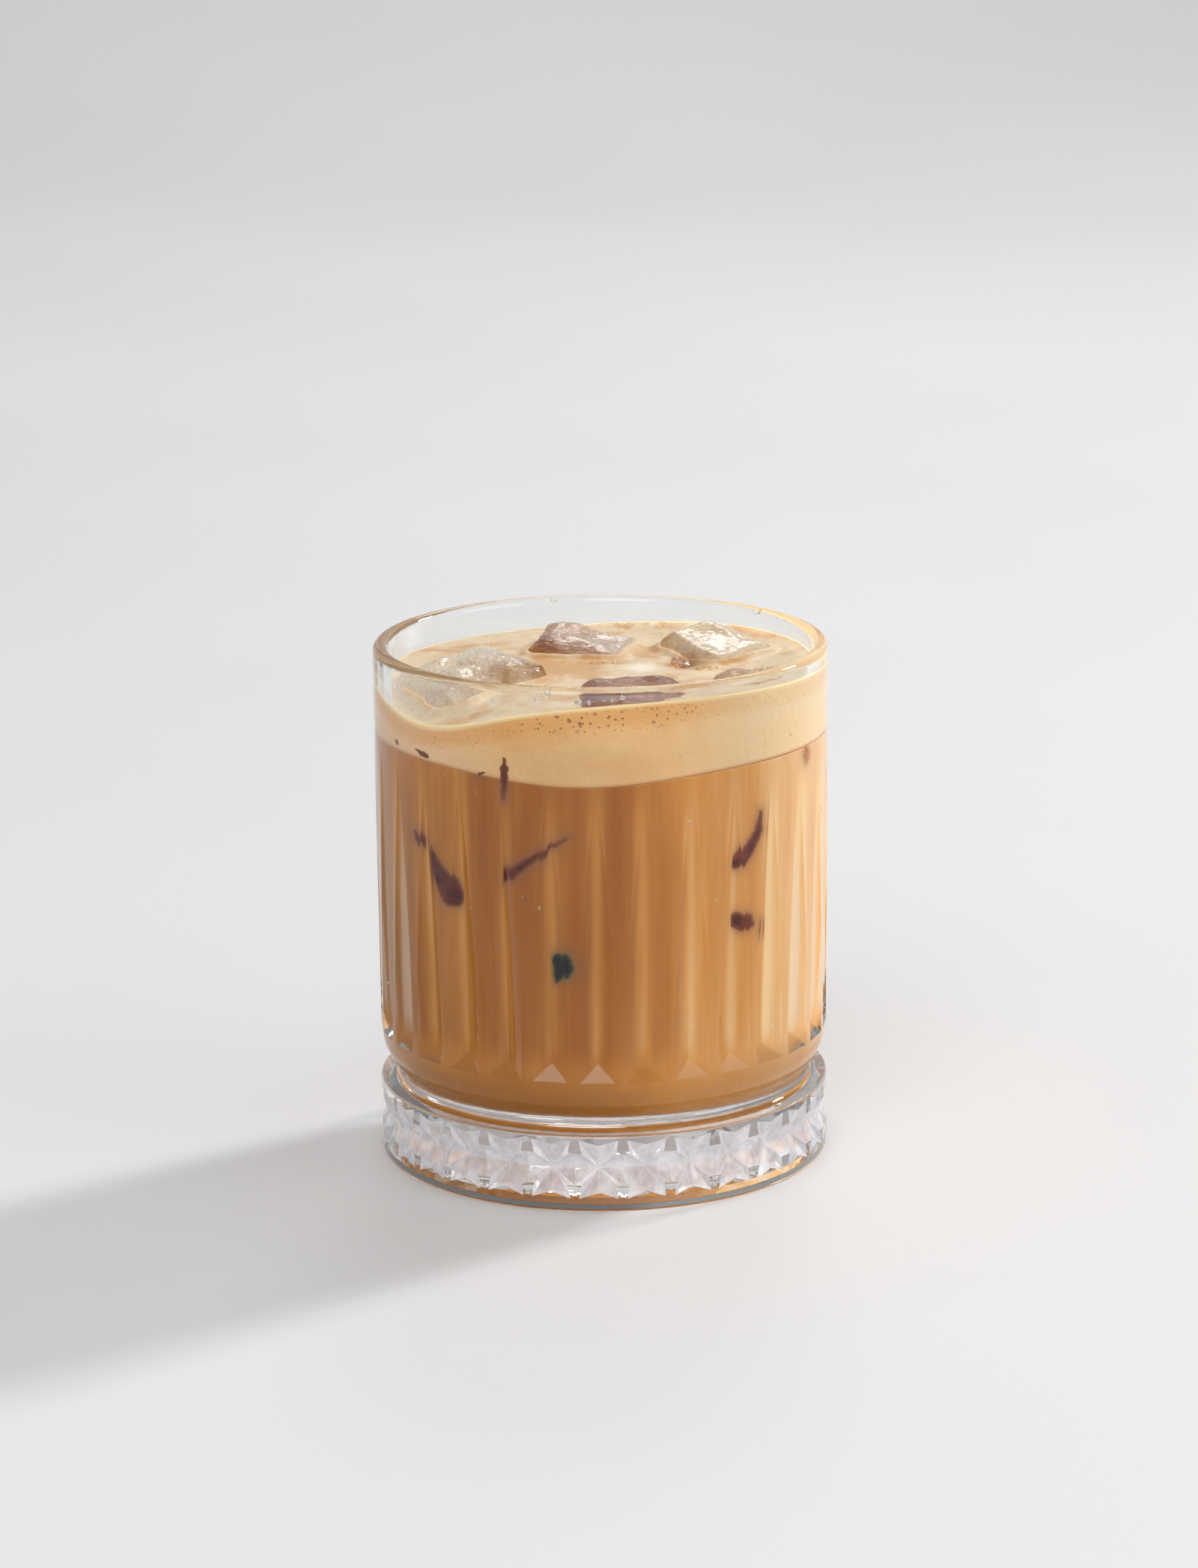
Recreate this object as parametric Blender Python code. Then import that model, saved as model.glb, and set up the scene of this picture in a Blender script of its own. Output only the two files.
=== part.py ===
"""A glass of Vietnamese iced milk coffee, as a Blender model in metres with +Z up.

The tumbler is one piece of pressed glass: a straight body with long tapered flutes, a waist, and a thick
disc of a foot with a band of cut stars. It holds milk coffee, a layer of foam, and ice that stands out of
the foam. The origin is on the table under the middle of the foot, and the front is towards -Y.
"""

import math
import random

import bmesh
import bpy
from mathutils import Euler, Matrix, Vector

# The tumbler, in metres.
RIM_HEIGHT = 0.097
BODY_RADIUS = 0.042
LIP = 0.0014  # radius of the rounded lip, so the wall there is twice this
GRIP_RADIUS = 0.0418  # the body narrows to this just above the ends of the flutes
COLLAR = 0.0015  # height of the plain band between the flutes and the waist
COLLAR_STEP = 0.0003  # the body is this much narrower under the collar
WAIST_RADIUS = 0.0384
WAIST_HEIGHT = 0.0160
WAIST_BELLY = 1.3  # the higher it is, the sooner the body turns in
WAIST_SHARES = (0.0, 0.3, 0.55, 0.8, 1.0)  # rows from the collar down to the waist
FOOT_RADIUS = 0.0419
FOOT_TOP = 0.0145
SHELF_HOLLOW = 0.0007  # the soft inner corner between the waist and the shelf of the foot
SHELF_EDGE = 0.0004  # the rounded outer edge of the shelf
FOOT_ROUND_IN = 0.0008  # the rounded bottom edge goes in this far
FOOT_ROUND_UP = 0.0013  # and starts this high
FOOT_RING = 0.0350  # the glass stands on the flat ring outside this radius
PUNT_SLOPE = 0.0012
PUNT_DEPTH = 0.0010

# The hollow inside it.
BORE_TOP = BODY_RADIUS - 2 * LIP
BORE_BOTTOM = 0.0369
BORE_FLOOR = 0.0175
BORE_CORNER = 0.0095  # height over which the floor rounds up into the wall
BORE_WALL_ROWS = (0.0800, 0.0550)  # heights of the rows on the straight part
BORE_CORNER_TURNS = (0, 30, 58, 80)  # degrees down the rounded corner

# The flutes and the stars share one repeat.
REPEATS = 30
STEP = 360 / REPEATS  # degrees
FIRST_TURN = -1.5  # degrees that the first flute stands to the left of the front
FLUTE_TOP = 0.0795
FLUTE_END = 0.0276  # height of the deepest point of a flute
FLUTE_FOOT = 0.0243  # height of the straight edge below it
FLUTE_WIDTH = 9.8  # degrees, at its widest
FLUTE_FOOT_WIDTH = 9.2
FLUTE_DEPTH = 0.0020
FLUTE_SWELL = 1.6  # the higher it is, the sooner a flute reaches its full width
FLUTE_ROWS = 4

STAR_MIDDLE = 0.0081
STAR_TIP = (4.9, 0.0055)  # degrees to the side of the middle, metres above it
STAR_NOTCH = 0.0046  # height of the notch between the two upper tips, above the middle
STAR_LOW_NOTCH = 0.0042  # depth of the one between the lower tips, below it
STAR_SHOULDER = (4.25, 0.0029)
STAR_DEPTH = 0.0019
STAR_SIDE_DEPTH = 0.0011  # depth of the cut that joins two stars

# The drink.
GAP = 0.0003  # between pieces that touch
LAYER_HEIGHT = 0.0804  # the foam floats on the coffee at this height
LAYER_DIP = 0.0020
LAYER_DIP_PLACE = (-6, 28)  # degrees: its middle and its width
FOAM_HEIGHT = 0.0913
FOAM_RIPPLE = 0.0003
WALL_FOAM = 0.0923  # mean height of the foam against the glass
WALL_FOAM_TILT = 0.0013
WALL_FOAM_HIGH_SIDE = 70  # degrees from the front to the side where it climbs highest
WALL_FOAM_FRONT = 0.0006
WALL_FOAM_FRONT_PLACE = (10, 40)
WALL_FOAM_DIP = 0.0046  # it hangs lower where the left ice cube leans on the glass
WALL_FOAM_DIP_PLACE = (-52, 27)
COFFEE_RINGS = (0.35, 0.75, 1.0)  # shares of the bore's radius
FOAM_RINGS = (0.3, 0.6, 0.82, 0.94, 1.0)
SIDES = 60

# The ice.
ICE_BEVEL = 0.0035  # the melted edges
ICE_WOBBLE = 0.0004
SEED = 12


def clear_scene():
    for thing in list(bpy.data.objects):
        bpy.data.objects.remove(thing, do_unlink=True)


def material(name, colour, roughness, transmission=0.0, ior=1.45):
    made = bpy.data.materials.new(name)
    made.use_nodes = True
    shader = made.node_tree.nodes["Principled BSDF"]
    shader.inputs["Base Color"].default_value = (*colour, 1.0)
    shader.inputs["Roughness"].default_value = roughness
    shader.inputs["Metallic"].default_value = 0.0
    shader.inputs["Transmission Weight"].default_value = transmission
    shader.inputs["IOR"].default_value = ior
    return made


def polar(angle, radius, height):
    """A point by its angle in degrees from the front, counted towards +X."""
    turn = math.radians(angle)
    return Vector((radius * math.sin(turn), -radius * math.cos(turn), height))


def add_object(name, bm, finish):
    bmesh.ops.triangulate(bm, faces=bm.faces[:])
    bmesh.ops.recalc_face_normals(bm, faces=bm.faces[:])
    mesh = bpy.data.meshes.new(name)
    bm.to_mesh(mesh)
    bm.free()
    mesh.materials.append(finish)
    mesh.shade_smooth()
    mesh.set_sharp_from_angle(angle=math.radians(28))
    made = bpy.data.objects.new(name, mesh)
    bpy.context.scene.collection.objects.link(made)
    return made


def hide_cutter(cutter):
    cutter.hide_render = True
    cutter.display_type = "WIRE"
    return cutter


# The hollow of the glass, which the drink follows.


def bore_radius(height):
    """The inner radius of the glass at a height: a straight taper over a rounded corner."""
    corner_top = BORE_FLOOR + BORE_CORNER
    share = max(0.0, height - corner_top) / (RIM_HEIGHT - corner_top)
    radius = BORE_BOTTOM + (BORE_TOP - BORE_BOTTOM) * share
    if height < corner_top:
        down = (corner_top - height) / BORE_CORNER
        radius -= BORE_CORNER * (1 - math.sqrt(max(0.0, 1 - down * down)))
    return radius


def bore_heights():
    """Heights down the inside: the wall, then the rounded corner down to the floor."""
    corner = [BORE_FLOOR + BORE_CORNER * (1 - math.sin(math.radians(a))) for a in BORE_CORNER_TURNS]
    return [*BORE_WALL_ROWS, *corner]


# The pressed glass, made as one repeat of 12 degrees and then turned round the axis.


def sector_row(bm, angles, radius, height):
    return [bm.verts.new(polar(angle, radius, height)) for angle in angles]


def stitch(bm, upper, lower):
    """Joins two rows of points by triangles, always across the shorter diagonal."""
    i = j = 0
    while i < len(upper) - 1 or j < len(lower) - 1:
        along_upper = along_lower = math.inf
        if i < len(upper) - 1:
            along_upper = (upper[i + 1].co - lower[j].co).length
        if j < len(lower) - 1:
            along_lower = (lower[j + 1].co - upper[i].co).length
        if along_upper <= along_lower:
            bm.faces.new((upper[i], lower[j], upper[i + 1]))
            i += 1
        else:
            bm.faces.new((upper[i], lower[j], lower[j + 1]))
            j += 1


def stitch_all(bm, rows):
    for upper, lower in zip(rows, rows[1:]):
        stitch(bm, upper, lower)


def flute_share(height):
    """How wide and deep a flute is at a height, from 0 at its top to 1 at its end."""
    down = (FLUTE_TOP - height) / (FLUTE_TOP - FLUTE_END)
    return 1 - (1 - down) ** FLUTE_SWELL


def body_radius(height):
    share = (height - FLUTE_FOOT) / (RIM_HEIGHT - LIP - FLUTE_FOOT)
    return GRIP_RADIUS + (BODY_RADIUS - GRIP_RADIUS) * share


def flute_row(bm, height):
    half = STEP / 2
    edge = flute_share(height) * FLUTE_WIDTH / 2
    radius = body_radius(height)
    valley = radius - flute_share(height) * FLUTE_DEPTH
    points = [(-half, radius), (-edge, radius), (0, valley), (edge, radius), (half, radius)]
    return [bm.verts.new(polar(angle, r, height)) for angle, r in points]


def lip_rows(bm, columns):
    """The lip is a half round from the outer wall over to the bore."""
    middle = BODY_RADIUS - LIP
    centre = RIM_HEIGHT - LIP
    rows = []
    for turn in (0, 45, 90, 135, 180):
        side = LIP * math.cos(math.radians(turn))
        rise = LIP * math.sin(math.radians(turn))
        rows.append(sector_row(bm, columns, middle + side, centre + rise))
    return rows


def waist_rows(bm, columns):
    """The body turns in below the flutes to the waist, then out to the shelf of the foot."""
    top = FLUTE_FOOT - COLLAR
    drop = top - WAIST_HEIGHT
    swell = GRIP_RADIUS - COLLAR_STEP - WAIST_RADIUS
    rows = []
    for share in WAIST_SHARES:
        radius = WAIST_RADIUS + swell * math.cos(share * math.pi / 2) ** WAIST_BELLY
        rows.append(sector_row(bm, columns, radius, top - drop * share))
    rows.append(sector_row(bm, columns, WAIST_RADIUS + SHELF_HOLLOW, FOOT_TOP + SHELF_HOLLOW))
    rows.append(sector_row(bm, columns, FOOT_RADIUS - SHELF_EDGE, FOOT_TOP))
    rows.append(sector_row(bm, columns, FOOT_RADIUS, FOOT_TOP - SHELF_EDGE))
    return rows


def star_band(bm, top_row, bottom_row):
    """One star: a hollow pyramid on a star outline, joined to its neighbours by a level cut."""
    half = STEP / 2
    tip_turn, tip_rise = STAR_TIP
    shoulder_turn, shoulder_rise = STAR_SHOULDER
    middle = bm.verts.new(polar(0, FOOT_RADIUS - STAR_DEPTH, STAR_MIDDLE))
    sides = {s: bm.verts.new(polar(s * half, FOOT_RADIUS - STAR_SIDE_DEPTH, STAR_MIDDLE)) for s in (-1, 1)}
    for up, edge_row in ((1, top_row), (-1, bottom_row)):
        notch_rise = STAR_NOTCH if up > 0 else STAR_LOW_NOTCH
        notch = bm.verts.new(polar(0, FOOT_RADIUS, STAR_MIDDLE + up * notch_rise))
        for side in (-1, 1):
            tip = bm.verts.new(polar(side * tip_turn, FOOT_RADIUS, STAR_MIDDLE + up * tip_rise))
            shoulder_place = STAR_MIDDLE + up * shoulder_rise
            shoulder = bm.verts.new(polar(side * shoulder_turn, FOOT_RADIUS, shoulder_place))
            meeting = bm.verts.new(polar(side * half, FOOT_RADIUS, shoulder_place))
            edge_end = edge_row[0] if side < 0 else edge_row[-1]
            for corners in (
                (middle, notch, tip),
                (middle, tip, shoulder),
                (middle, shoulder, meeting),
                (middle, meeting, sides[side]),
                (edge_end, meeting, shoulder, tip),
                (edge_end, tip, notch, edge_row[1]),
            ):
                bm.faces.new(corners)


def foot_rows(bm, columns):
    """Under the stars: the rounded edge, the ring that it stands on and the shallow hollow."""
    outline = []
    for turn in (0, 45, 90):
        inward = FOOT_ROUND_IN * (1 - math.cos(math.radians(turn)))
        height = FOOT_ROUND_UP * (1 - math.sin(math.radians(turn)))
        outline.append((FOOT_RADIUS - inward, height))
    outline += [(FOOT_RING, 0.0), (FOOT_RING - PUNT_SLOPE, PUNT_DEPTH)]
    return [sector_row(bm, columns, radius, height) for radius, height in outline]


def make_glass(finish):
    bm = bmesh.new()
    half = STEP / 2
    columns = (-half, 0, half)
    outer = lip_rows(bm, columns)[::-1]
    flute_run = FLUTE_TOP - FLUTE_END
    outer.append(sector_row(bm, columns, body_radius(FLUTE_TOP), FLUTE_TOP))
    outer += [flute_row(bm, FLUTE_TOP - flute_run * (i + 1) / FLUTE_ROWS) for i in range(FLUTE_ROWS)]
    foot_half = FLUTE_FOOT_WIDTH / 2
    outer.append(sector_row(bm, (-half, -foot_half, foot_half, half), GRIP_RADIUS, FLUTE_FOOT))
    outer += waist_rows(bm, columns)
    stitch_all(bm, outer)
    under = foot_rows(bm, columns)
    under.append([bm.verts.new((0, 0, PUNT_DEPTH))])
    stitch_all(bm, under)
    star_band(bm, outer[-1], under[0])
    inner = [outer[0]]
    inner += [sector_row(bm, columns, bore_radius(height), height) for height in bore_heights()]
    inner.append([bm.verts.new((0, 0, BORE_FLOOR))])
    stitch_all(bm, inner)
    first_turn = Matrix.Rotation(math.radians(FIRST_TURN), 3, "Z")
    bmesh.ops.rotate(bm, verts=bm.verts[:], cent=(0, 0, 0), matrix=first_turn)
    bmesh.ops.spin(
        bm,
        geom=bm.verts[:] + bm.edges[:] + bm.faces[:],
        cent=(0, 0, 0),
        axis=(0, 0, 1),
        angle=math.radians(360 - STEP),
        steps=REPEATS - 1,
        use_duplicate=True,
    )
    bmesh.ops.remove_doubles(bm, verts=bm.verts[:], dist=1e-6)
    return add_object("glass", bm, finish)


# The drink, as rings of points that follow the bore.


def ring(bm, radius, height):
    """A closed ring; the height is a function of the angle and the radius."""
    angles = [FIRST_TURN + 360 * i / SIDES for i in range(SIDES)]
    return [bm.verts.new(polar(a, radius, height(a, radius))) for a in angles]


def level(height):
    return lambda angle, radius: height


def close_with_point(bm, loop, height):
    centre = bm.verts.new((0, 0, height))
    for i, corner in enumerate(loop):
        bm.faces.new((corner, loop[(i + 1) % len(loop)], centre))


def skin(bm, loops):
    for upper, lower in zip(loops, loops[1:]):
        for i in range(SIDES):
            j = (i + 1) % SIDES
            bm.faces.new((upper[i], lower[i], lower[j], upper[j]))


def bump(angle, centre, width):
    """A smooth hump over angles, 1 at its centre."""
    away = (angle - centre + 180) % 360 - 180
    return math.exp(-((away / width) ** 2))


def layer_height(angle, radius):
    """Where coffee ends and foam begins: a shallow dip near the front of the wall."""
    return LAYER_HEIGHT - LAYER_DIP * bump(angle, *LAYER_DIP_PLACE) * (radius / BORE_TOP) ** 2


def foam_height(angle, radius):
    """The foam lies low in the middle and climbs up the glass, except at the front left."""
    wall = WALL_FOAM + WALL_FOAM_TILT * math.cos(math.radians(angle - WALL_FOAM_HIGH_SIDE))
    wall += WALL_FOAM_FRONT * bump(angle, *WALL_FOAM_FRONT_PLACE)
    wall -= WALL_FOAM_DIP * bump(angle, *WALL_FOAM_DIP_PLACE)
    climb = (radius / BORE_TOP) ** 4
    ripple = FOAM_RIPPLE * math.sin(math.radians(3 * angle + 40)) * (radius / BORE_TOP)
    return FOAM_HEIGHT + (wall - FOAM_HEIGHT) * climb + ripple


def room_radius(height):
    return bore_radius(height) - GAP


def make_room():
    """The space that the ice has to keep to: the bore, less the gap, open above the rim."""
    bm = bmesh.new()
    floor = BORE_FLOOR + GAP
    loops = [ring(bm, room_radius(RIM_HEIGHT), level(RIM_HEIGHT + 0.01))]
    loops += [ring(bm, room_radius(height), level(height)) for height in bore_heights()]
    skin(bm, loops)
    close_with_point(bm, loops[0], RIM_HEIGHT + 0.01)
    close_with_point(bm, loops[-1], floor)
    return hide_cutter(add_object("room", bm, material("room_guide", (0.8, 0.8, 0.8), 0.5)))


def make_coffee(finish):
    bm = bmesh.new()
    reach = room_radius(LAYER_HEIGHT)
    loops = [ring(bm, share * reach, layer_height) for share in COFFEE_RINGS]
    lower = [height for height in bore_heights() if height < LAYER_HEIGHT - LAYER_DIP]
    loops += [ring(bm, room_radius(height), level(height + GAP)) for height in lower]
    skin(bm, loops)
    close_with_point(bm, loops[0], LAYER_HEIGHT)
    close_with_point(bm, loops[-1], BORE_FLOOR + GAP)
    return add_object("coffee", bm, finish)


def make_foam(finish):
    bm = bmesh.new()
    reach = room_radius(LAYER_HEIGHT)
    loops = [ring(bm, share * reach, foam_height) for share in FOAM_RINGS]

    def underside(angle, radius):
        return layer_height(angle, radius) + GAP

    loops += [ring(bm, share * reach, underside) for share in COFFEE_RINGS[::-1]]
    skin(bm, loops)
    close_with_point(bm, loops[0], FOAM_HEIGHT)
    close_with_point(bm, loops[-1], LAYER_HEIGHT + GAP)
    return add_object("foam", bm, finish)


# The ice: blocks with melted corners, each leaning its own way.


def melted_block(size, seed, grow=0.0):
    """A box with rounded edges and uneven points; grow makes a slightly larger one for cutting."""
    bm = bmesh.new()
    bmesh.ops.create_cube(bm, size=1.0)
    bmesh.ops.scale(bm, vec=size, verts=bm.verts[:])
    bmesh.ops.bevel(bm, geom=bm.edges[:], offset=ICE_BEVEL, segments=2, profile=0.5, affect="EDGES")
    bmesh.ops.recalc_face_normals(bm, faces=bm.faces[:])
    draw = random.Random(seed)
    for corner in bm.verts:
        corner.co += Vector([draw.uniform(-ICE_WOBBLE, ICE_WOBBLE) for _ in range(3)])
    bm.normal_update()
    outward = [(corner, corner.normal.copy()) for corner in bm.verts]
    for corner, normal in outward:
        corner.co += normal * grow
    return bm


def make_ice(name, centre, size, lean, finish, room, cutters):
    """An ice block and the cutter that makes room for it in the coffee and the foam."""
    turn = Euler([math.radians(angle) for angle in lean]).to_matrix().to_4x4()
    place = Matrix.Translation(centre) @ turn
    seed = SEED + len(name)
    block = add_object(name, melted_block(size, seed), finish)
    block.matrix_world = place
    fit = block.modifiers.new("keep_inside_glass", "BOOLEAN")
    fit.operation = "INTERSECT"
    fit.object = room
    grown = melted_block(size, seed, grow=1.5 * GAP)
    cutter = hide_cutter(add_object(name + "_room", grown, finish))
    cutter.matrix_world = place
    bpy.context.scene.collection.objects.unlink(cutter)
    cutters.objects.link(cutter)


def cut_round_ice(piece, cutters):
    cut = piece.modifiers.new("room_for_ice", "BOOLEAN")
    cut.operation = "DIFFERENCE"
    cut.operand_type = "COLLECTION"
    cut.collection = cutters


# Name, centre, size and lean (degrees about X, Y and Z) of each block that stands out of the foam.
ICE = (
    ("ice_left", (-0.0232, -0.0060, 0.0822), (0.0240, 0.0215, 0.0240), (2, -9, 40)),
    ("ice_back", (-0.0040, 0.0185, 0.0820), (0.0205, 0.0180, 0.0240), (6, 11, -12)),
    ("ice_front", (0.0060, -0.0215, 0.0805), (0.0215, 0.0260, 0.0240), (0, 1, 3)),
    ("ice_right", (0.0214, 0.0150, 0.0828), (0.0160, 0.0205, 0.0240), (9, -10, 35)),
    ("ice_edge", (0.0275, -0.0093, 0.0816), (0.0150, 0.0160, 0.0220), (8, -4, -14)),
)


def main():
    clear_scene()
    clear_glass = material("clear_glass", (0.93, 0.95, 0.95), 0.03, transmission=1.0, ior=1.5)
    milk_coffee = material("milk_coffee", (0.46, 0.22, 0.07), 0.35)
    coffee_foam = material("coffee_foam", (0.80, 0.58, 0.30), 0.6)
    wet_ice = material("wet_ice", (0.78, 0.66, 0.50), 0.12, transmission=0.6, ior=1.31)
    make_glass(clear_glass)
    room = make_room()
    cutters = bpy.data.collections.new("ice_cutters")
    bpy.context.scene.collection.children.link(cutters)
    for name, centre, size, lean in ICE:
        make_ice(name, centre, size, lean, wet_ice, room, cutters)
    for piece in (make_coffee(milk_coffee), make_foam(coffee_foam)):
        cut_round_ice(piece, cutters)


main()
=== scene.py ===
# %% [markdown]
# # Iced milk coffee in a pressed-glass tumbler
#
# The drink is a clear tumbler with long tapered flutes and a band of stars round its thick foot. In it are
# milk coffee, a layer of foam and ice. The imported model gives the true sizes. This lesson dresses it:
# every visible piece is made again with finer edges, real refraction and procedural finishes.

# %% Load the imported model
import random
from math import atan, cos, degrees, exp, hypot, inf, pi, radians, sin

import bmesh
import bpy
import numpy as np
from mathutils import Matrix, Vector, noise
from mathutils.bvhtree import BVHTree


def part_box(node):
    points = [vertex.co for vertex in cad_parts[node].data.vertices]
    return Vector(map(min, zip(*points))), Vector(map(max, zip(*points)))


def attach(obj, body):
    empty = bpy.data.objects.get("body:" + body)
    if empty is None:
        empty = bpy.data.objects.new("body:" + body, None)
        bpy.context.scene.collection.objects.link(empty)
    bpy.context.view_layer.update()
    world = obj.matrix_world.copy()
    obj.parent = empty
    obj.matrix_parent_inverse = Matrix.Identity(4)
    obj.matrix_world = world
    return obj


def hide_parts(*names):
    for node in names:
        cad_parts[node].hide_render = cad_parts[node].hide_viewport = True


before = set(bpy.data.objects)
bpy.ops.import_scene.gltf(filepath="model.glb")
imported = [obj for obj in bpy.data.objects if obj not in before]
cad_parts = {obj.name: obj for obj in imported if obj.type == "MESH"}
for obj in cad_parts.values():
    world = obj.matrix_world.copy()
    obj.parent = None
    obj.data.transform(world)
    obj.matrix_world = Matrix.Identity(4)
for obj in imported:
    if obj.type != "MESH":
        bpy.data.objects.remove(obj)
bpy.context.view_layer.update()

MM = 0.001
print("nodes:", sorted(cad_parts))

# %% [markdown]
# ## The camera
#
# The picture was taken with a long lens from about 15 degrees above the table, so the sides of the glass
# hardly lean. A long focal length far away gives that calm look, where a short lens close by would swell
# the front. The camera aims a little above the glass's own middle, which puts the glass in the lower half
# of the frame.

# %% Camera
FRAME_HEIGHT = 2094
FOCAL_PIXELS = 6166.6
CAMERA_DISTANCE = 0.864
CAMERA_RISE = 15.53  # degrees above the table, seen from the point that it turns round
TURN_POINT = Vector((0, 0, 0.045))
TURN_POINT_RIGHT = 3.45  # pixels right of the frame's middle
TURN_POINT_DOWN = 169.16  # pixels below it
CAMERA_ROLL = -0.0087


def placed(name, data):
    made = bpy.data.objects.new(name, data)
    bpy.context.scene.collection.objects.link(made)
    return made


def make_camera():
    lens = bpy.data.cameras.new("camera")
    lens.sensor_width = 36
    lens.lens = FOCAL_PIXELS / FRAME_HEIGHT * lens.sensor_width
    camera = placed("camera", lens)
    rise = radians(CAMERA_RISE)
    camera.location = TURN_POINT + CAMERA_DISTANCE * Vector((0, -cos(rise), sin(rise)))
    pitch = rise - atan(TURN_POINT_DOWN / FOCAL_PIXELS)
    yaw = atan(TURN_POINT_RIGHT / FOCAL_PIXELS)
    turn = Matrix.Rotation(yaw, 3, "Z") @ Matrix.Rotation(pi / 2 - pitch, 3, "X")
    camera.rotation_euler = (turn @ Matrix.Rotation(CAMERA_ROLL, 3, "Z")).to_euler()
    bpy.context.scene.camera = camera
    return camera


print("lens in mm:", round(make_camera().data.lens, 1))

# %% [markdown]
# ## Shader maths as Python
#
# A finish is a tree of nodes, and a tree written out node by node hides the idea behind it. The class
# below wraps one socket and overloads the operators, so that `1 - mask * 0.5` adds the Math nodes by
# itself. Every other node comes from one method, `node`, which sets the node's own settings first and its
# sockets after.

# %% The paint box
MIX_COLOUR_SOCKETS = (6, 7, 2)  # first colour, second colour and result of a Mix node set to colours


class Wire:
    """One output socket of a finish, which takes part in Python arithmetic."""

    def __init__(self, finish, socket):
        self.finish = finish
        self.socket = socket

    def math(self, operation, *values):
        return self.finish.node("Math", {"operation": operation}, dict(enumerate(values)))

    def __add__(self, other):
        return self.math("ADD", self, other)

    def __sub__(self, other):
        return self.math("SUBTRACT", self, other)

    def __rsub__(self, other):
        return self.math("SUBTRACT", other, self)

    def __mul__(self, other):
        return self.math("MULTIPLY", self, other)

    __radd__ = __add__
    __rmul__ = __mul__

    def between(self, low, high):
        """0 below low, 1 above high and a soft step from one to the other."""
        settings = {"interpolation_type": "SMOOTHSTEP"}
        return self.finish.node("MapRange", settings, {0: self, 1: low, 2: high})


class Finish:
    """A material whose nodes are added one by one."""

    def __init__(self, name):
        self.material = bpy.data.materials.new(name)
        self.material.use_nodes = True
        self.tree = self.material.node_tree
        self.tree.nodes.clear()
        self.place = self.node("TexCoord", out="Object")

    def node(self, kind, settings=None, values=None, out=0):
        made = self.tree.nodes.new("ShaderNode" + kind)
        for name, value in (settings or {}).items():
            setattr(made, name, value)
        for name, value in (values or {}).items():
            if isinstance(value, Wire):
                self.tree.links.new(value.socket, made.inputs[name])
            else:
                made.inputs[name].default_value = value
        return Wire(self, made.outputs[out]) if made.outputs else None

    def parts(self):
        whole = self.node("SeparateXYZ", values={0: self.place})
        return [Wire(self, socket) for socket in whole.socket.node.outputs]

    def angle_round(self, x, y):
        """Degrees from the front, growing towards +X."""
        return self.node("Math", {"operation": "ARCTAN2"}, {0: x, 1: y * -1}) * (180 / pi)

    def noise(self, size, detail=2.0, roughness=0.5, scale=None):
        """Clouds from 0 to 1 whose lumps are about size metres wide, or drawn out where scale is under 1."""
        place = self.place
        if scale:
            place = self.node("VectorMath", {"operation": "MULTIPLY"}, {0: place, 1: scale})
        values = {"Vector": place, "Scale": 1 / size, "Detail": detail, "Roughness": roughness}
        return self.node("TexNoise", values=values)

    def cells(self, size):
        """Distance to the middle of the nearest cell, in cell widths."""
        return self.node("TexVoronoi", values={"Vector": self.place, "Scale": 1 / size}, out="Distance")

    def stored(self, name):
        return self.node("Attribute", {"attribute_name": name}, out="Fac")

    def mix(self, share, first, second):
        first_in, second_in, result = MIX_COLOUR_SOCKETS
        values = {0: share, first_in: first, second_in: second}
        return self.node("Mix", {"data_type": "RGBA"}, values, out=result)

    def bump(self, height, depth):
        return self.node("Bump", values={"Height": height, "Distance": depth, "Strength": 1.0})

    def surface(self, values):
        return self.node("BsdfPrincipled", values=values)

    def blend(self, share, first, second):
        return self.node("MixShader", values={0: share, 1: first, 2: second})

    def done(self, shader):
        self.node("OutputMaterial", values={"Surface": shader})
        return self.material

    def lets_lamps_through(self, shader, tint):
        """Clear to shadow rays, so that lamps light what stands behind or in the piece."""
        clear = self.node("BsdfTransparent", values={"Color": tint})
        return self.blend(self.node("LightPath", out="Is Shadow Ray"), shader, clear)


def colour(red, green, blue):
    """A screen colour, 0 to 255, as the linear colour that shaders use."""
    shares = [part / 255 for part in (red, green, blue)]
    return (*[s / 12.92 if s <= 0.04045 else ((s + 0.055) / 1.055) ** 2.4 for s in shares], 1.0)


print("paint box ready")

# %% [markdown]
# ## Measures of the tumbler
#
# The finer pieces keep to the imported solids, so they start from the same driving sizes. Angles are in
# degrees from the front and grow towards +X, because a tumbler with 30 repeats is easiest to think of in
# turns of 12 degrees.

# %% Driving sizes
RIM_HEIGHT = 0.097
BODY_RADIUS = 0.042
LIP = 0.0014
GRIP_RADIUS = 0.0418
COLLAR = 0.0015
COLLAR_STEP = 0.0003
WAIST_RADIUS = 0.0384
WAIST_HEIGHT = 0.0160
WAIST_BELLY = 1.3
FOOT_RADIUS = 0.0419
FOOT_TOP = 0.0145
SHELF_EDGE = 0.0004
FOOT_ROUND_IN = 0.0008
FOOT_ROUND_UP = 0.0013
FOOT_RING = 0.0350
PUNT_SLOPE = 0.0012
PUNT_DEPTH = 0.0010

BORE_TOP = BODY_RADIUS - 2 * LIP
BORE_BOTTOM = 0.0369
BORE_FLOOR = 0.0175
BORE_CORNER = 0.0095

REPEATS = 30
STEP = 360 / REPEATS
FIRST_TURN = -1.5
FLUTE_TOP = 0.0795
FLUTE_END = 0.0276
FLUTE_FOOT = 0.0243
FLUTE_WIDTH = 9.8
FLUTE_FOOT_WIDTH = 9.2
FLUTE_DEPTH = 0.0020
FLUTE_SWELL = 1.6

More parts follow.
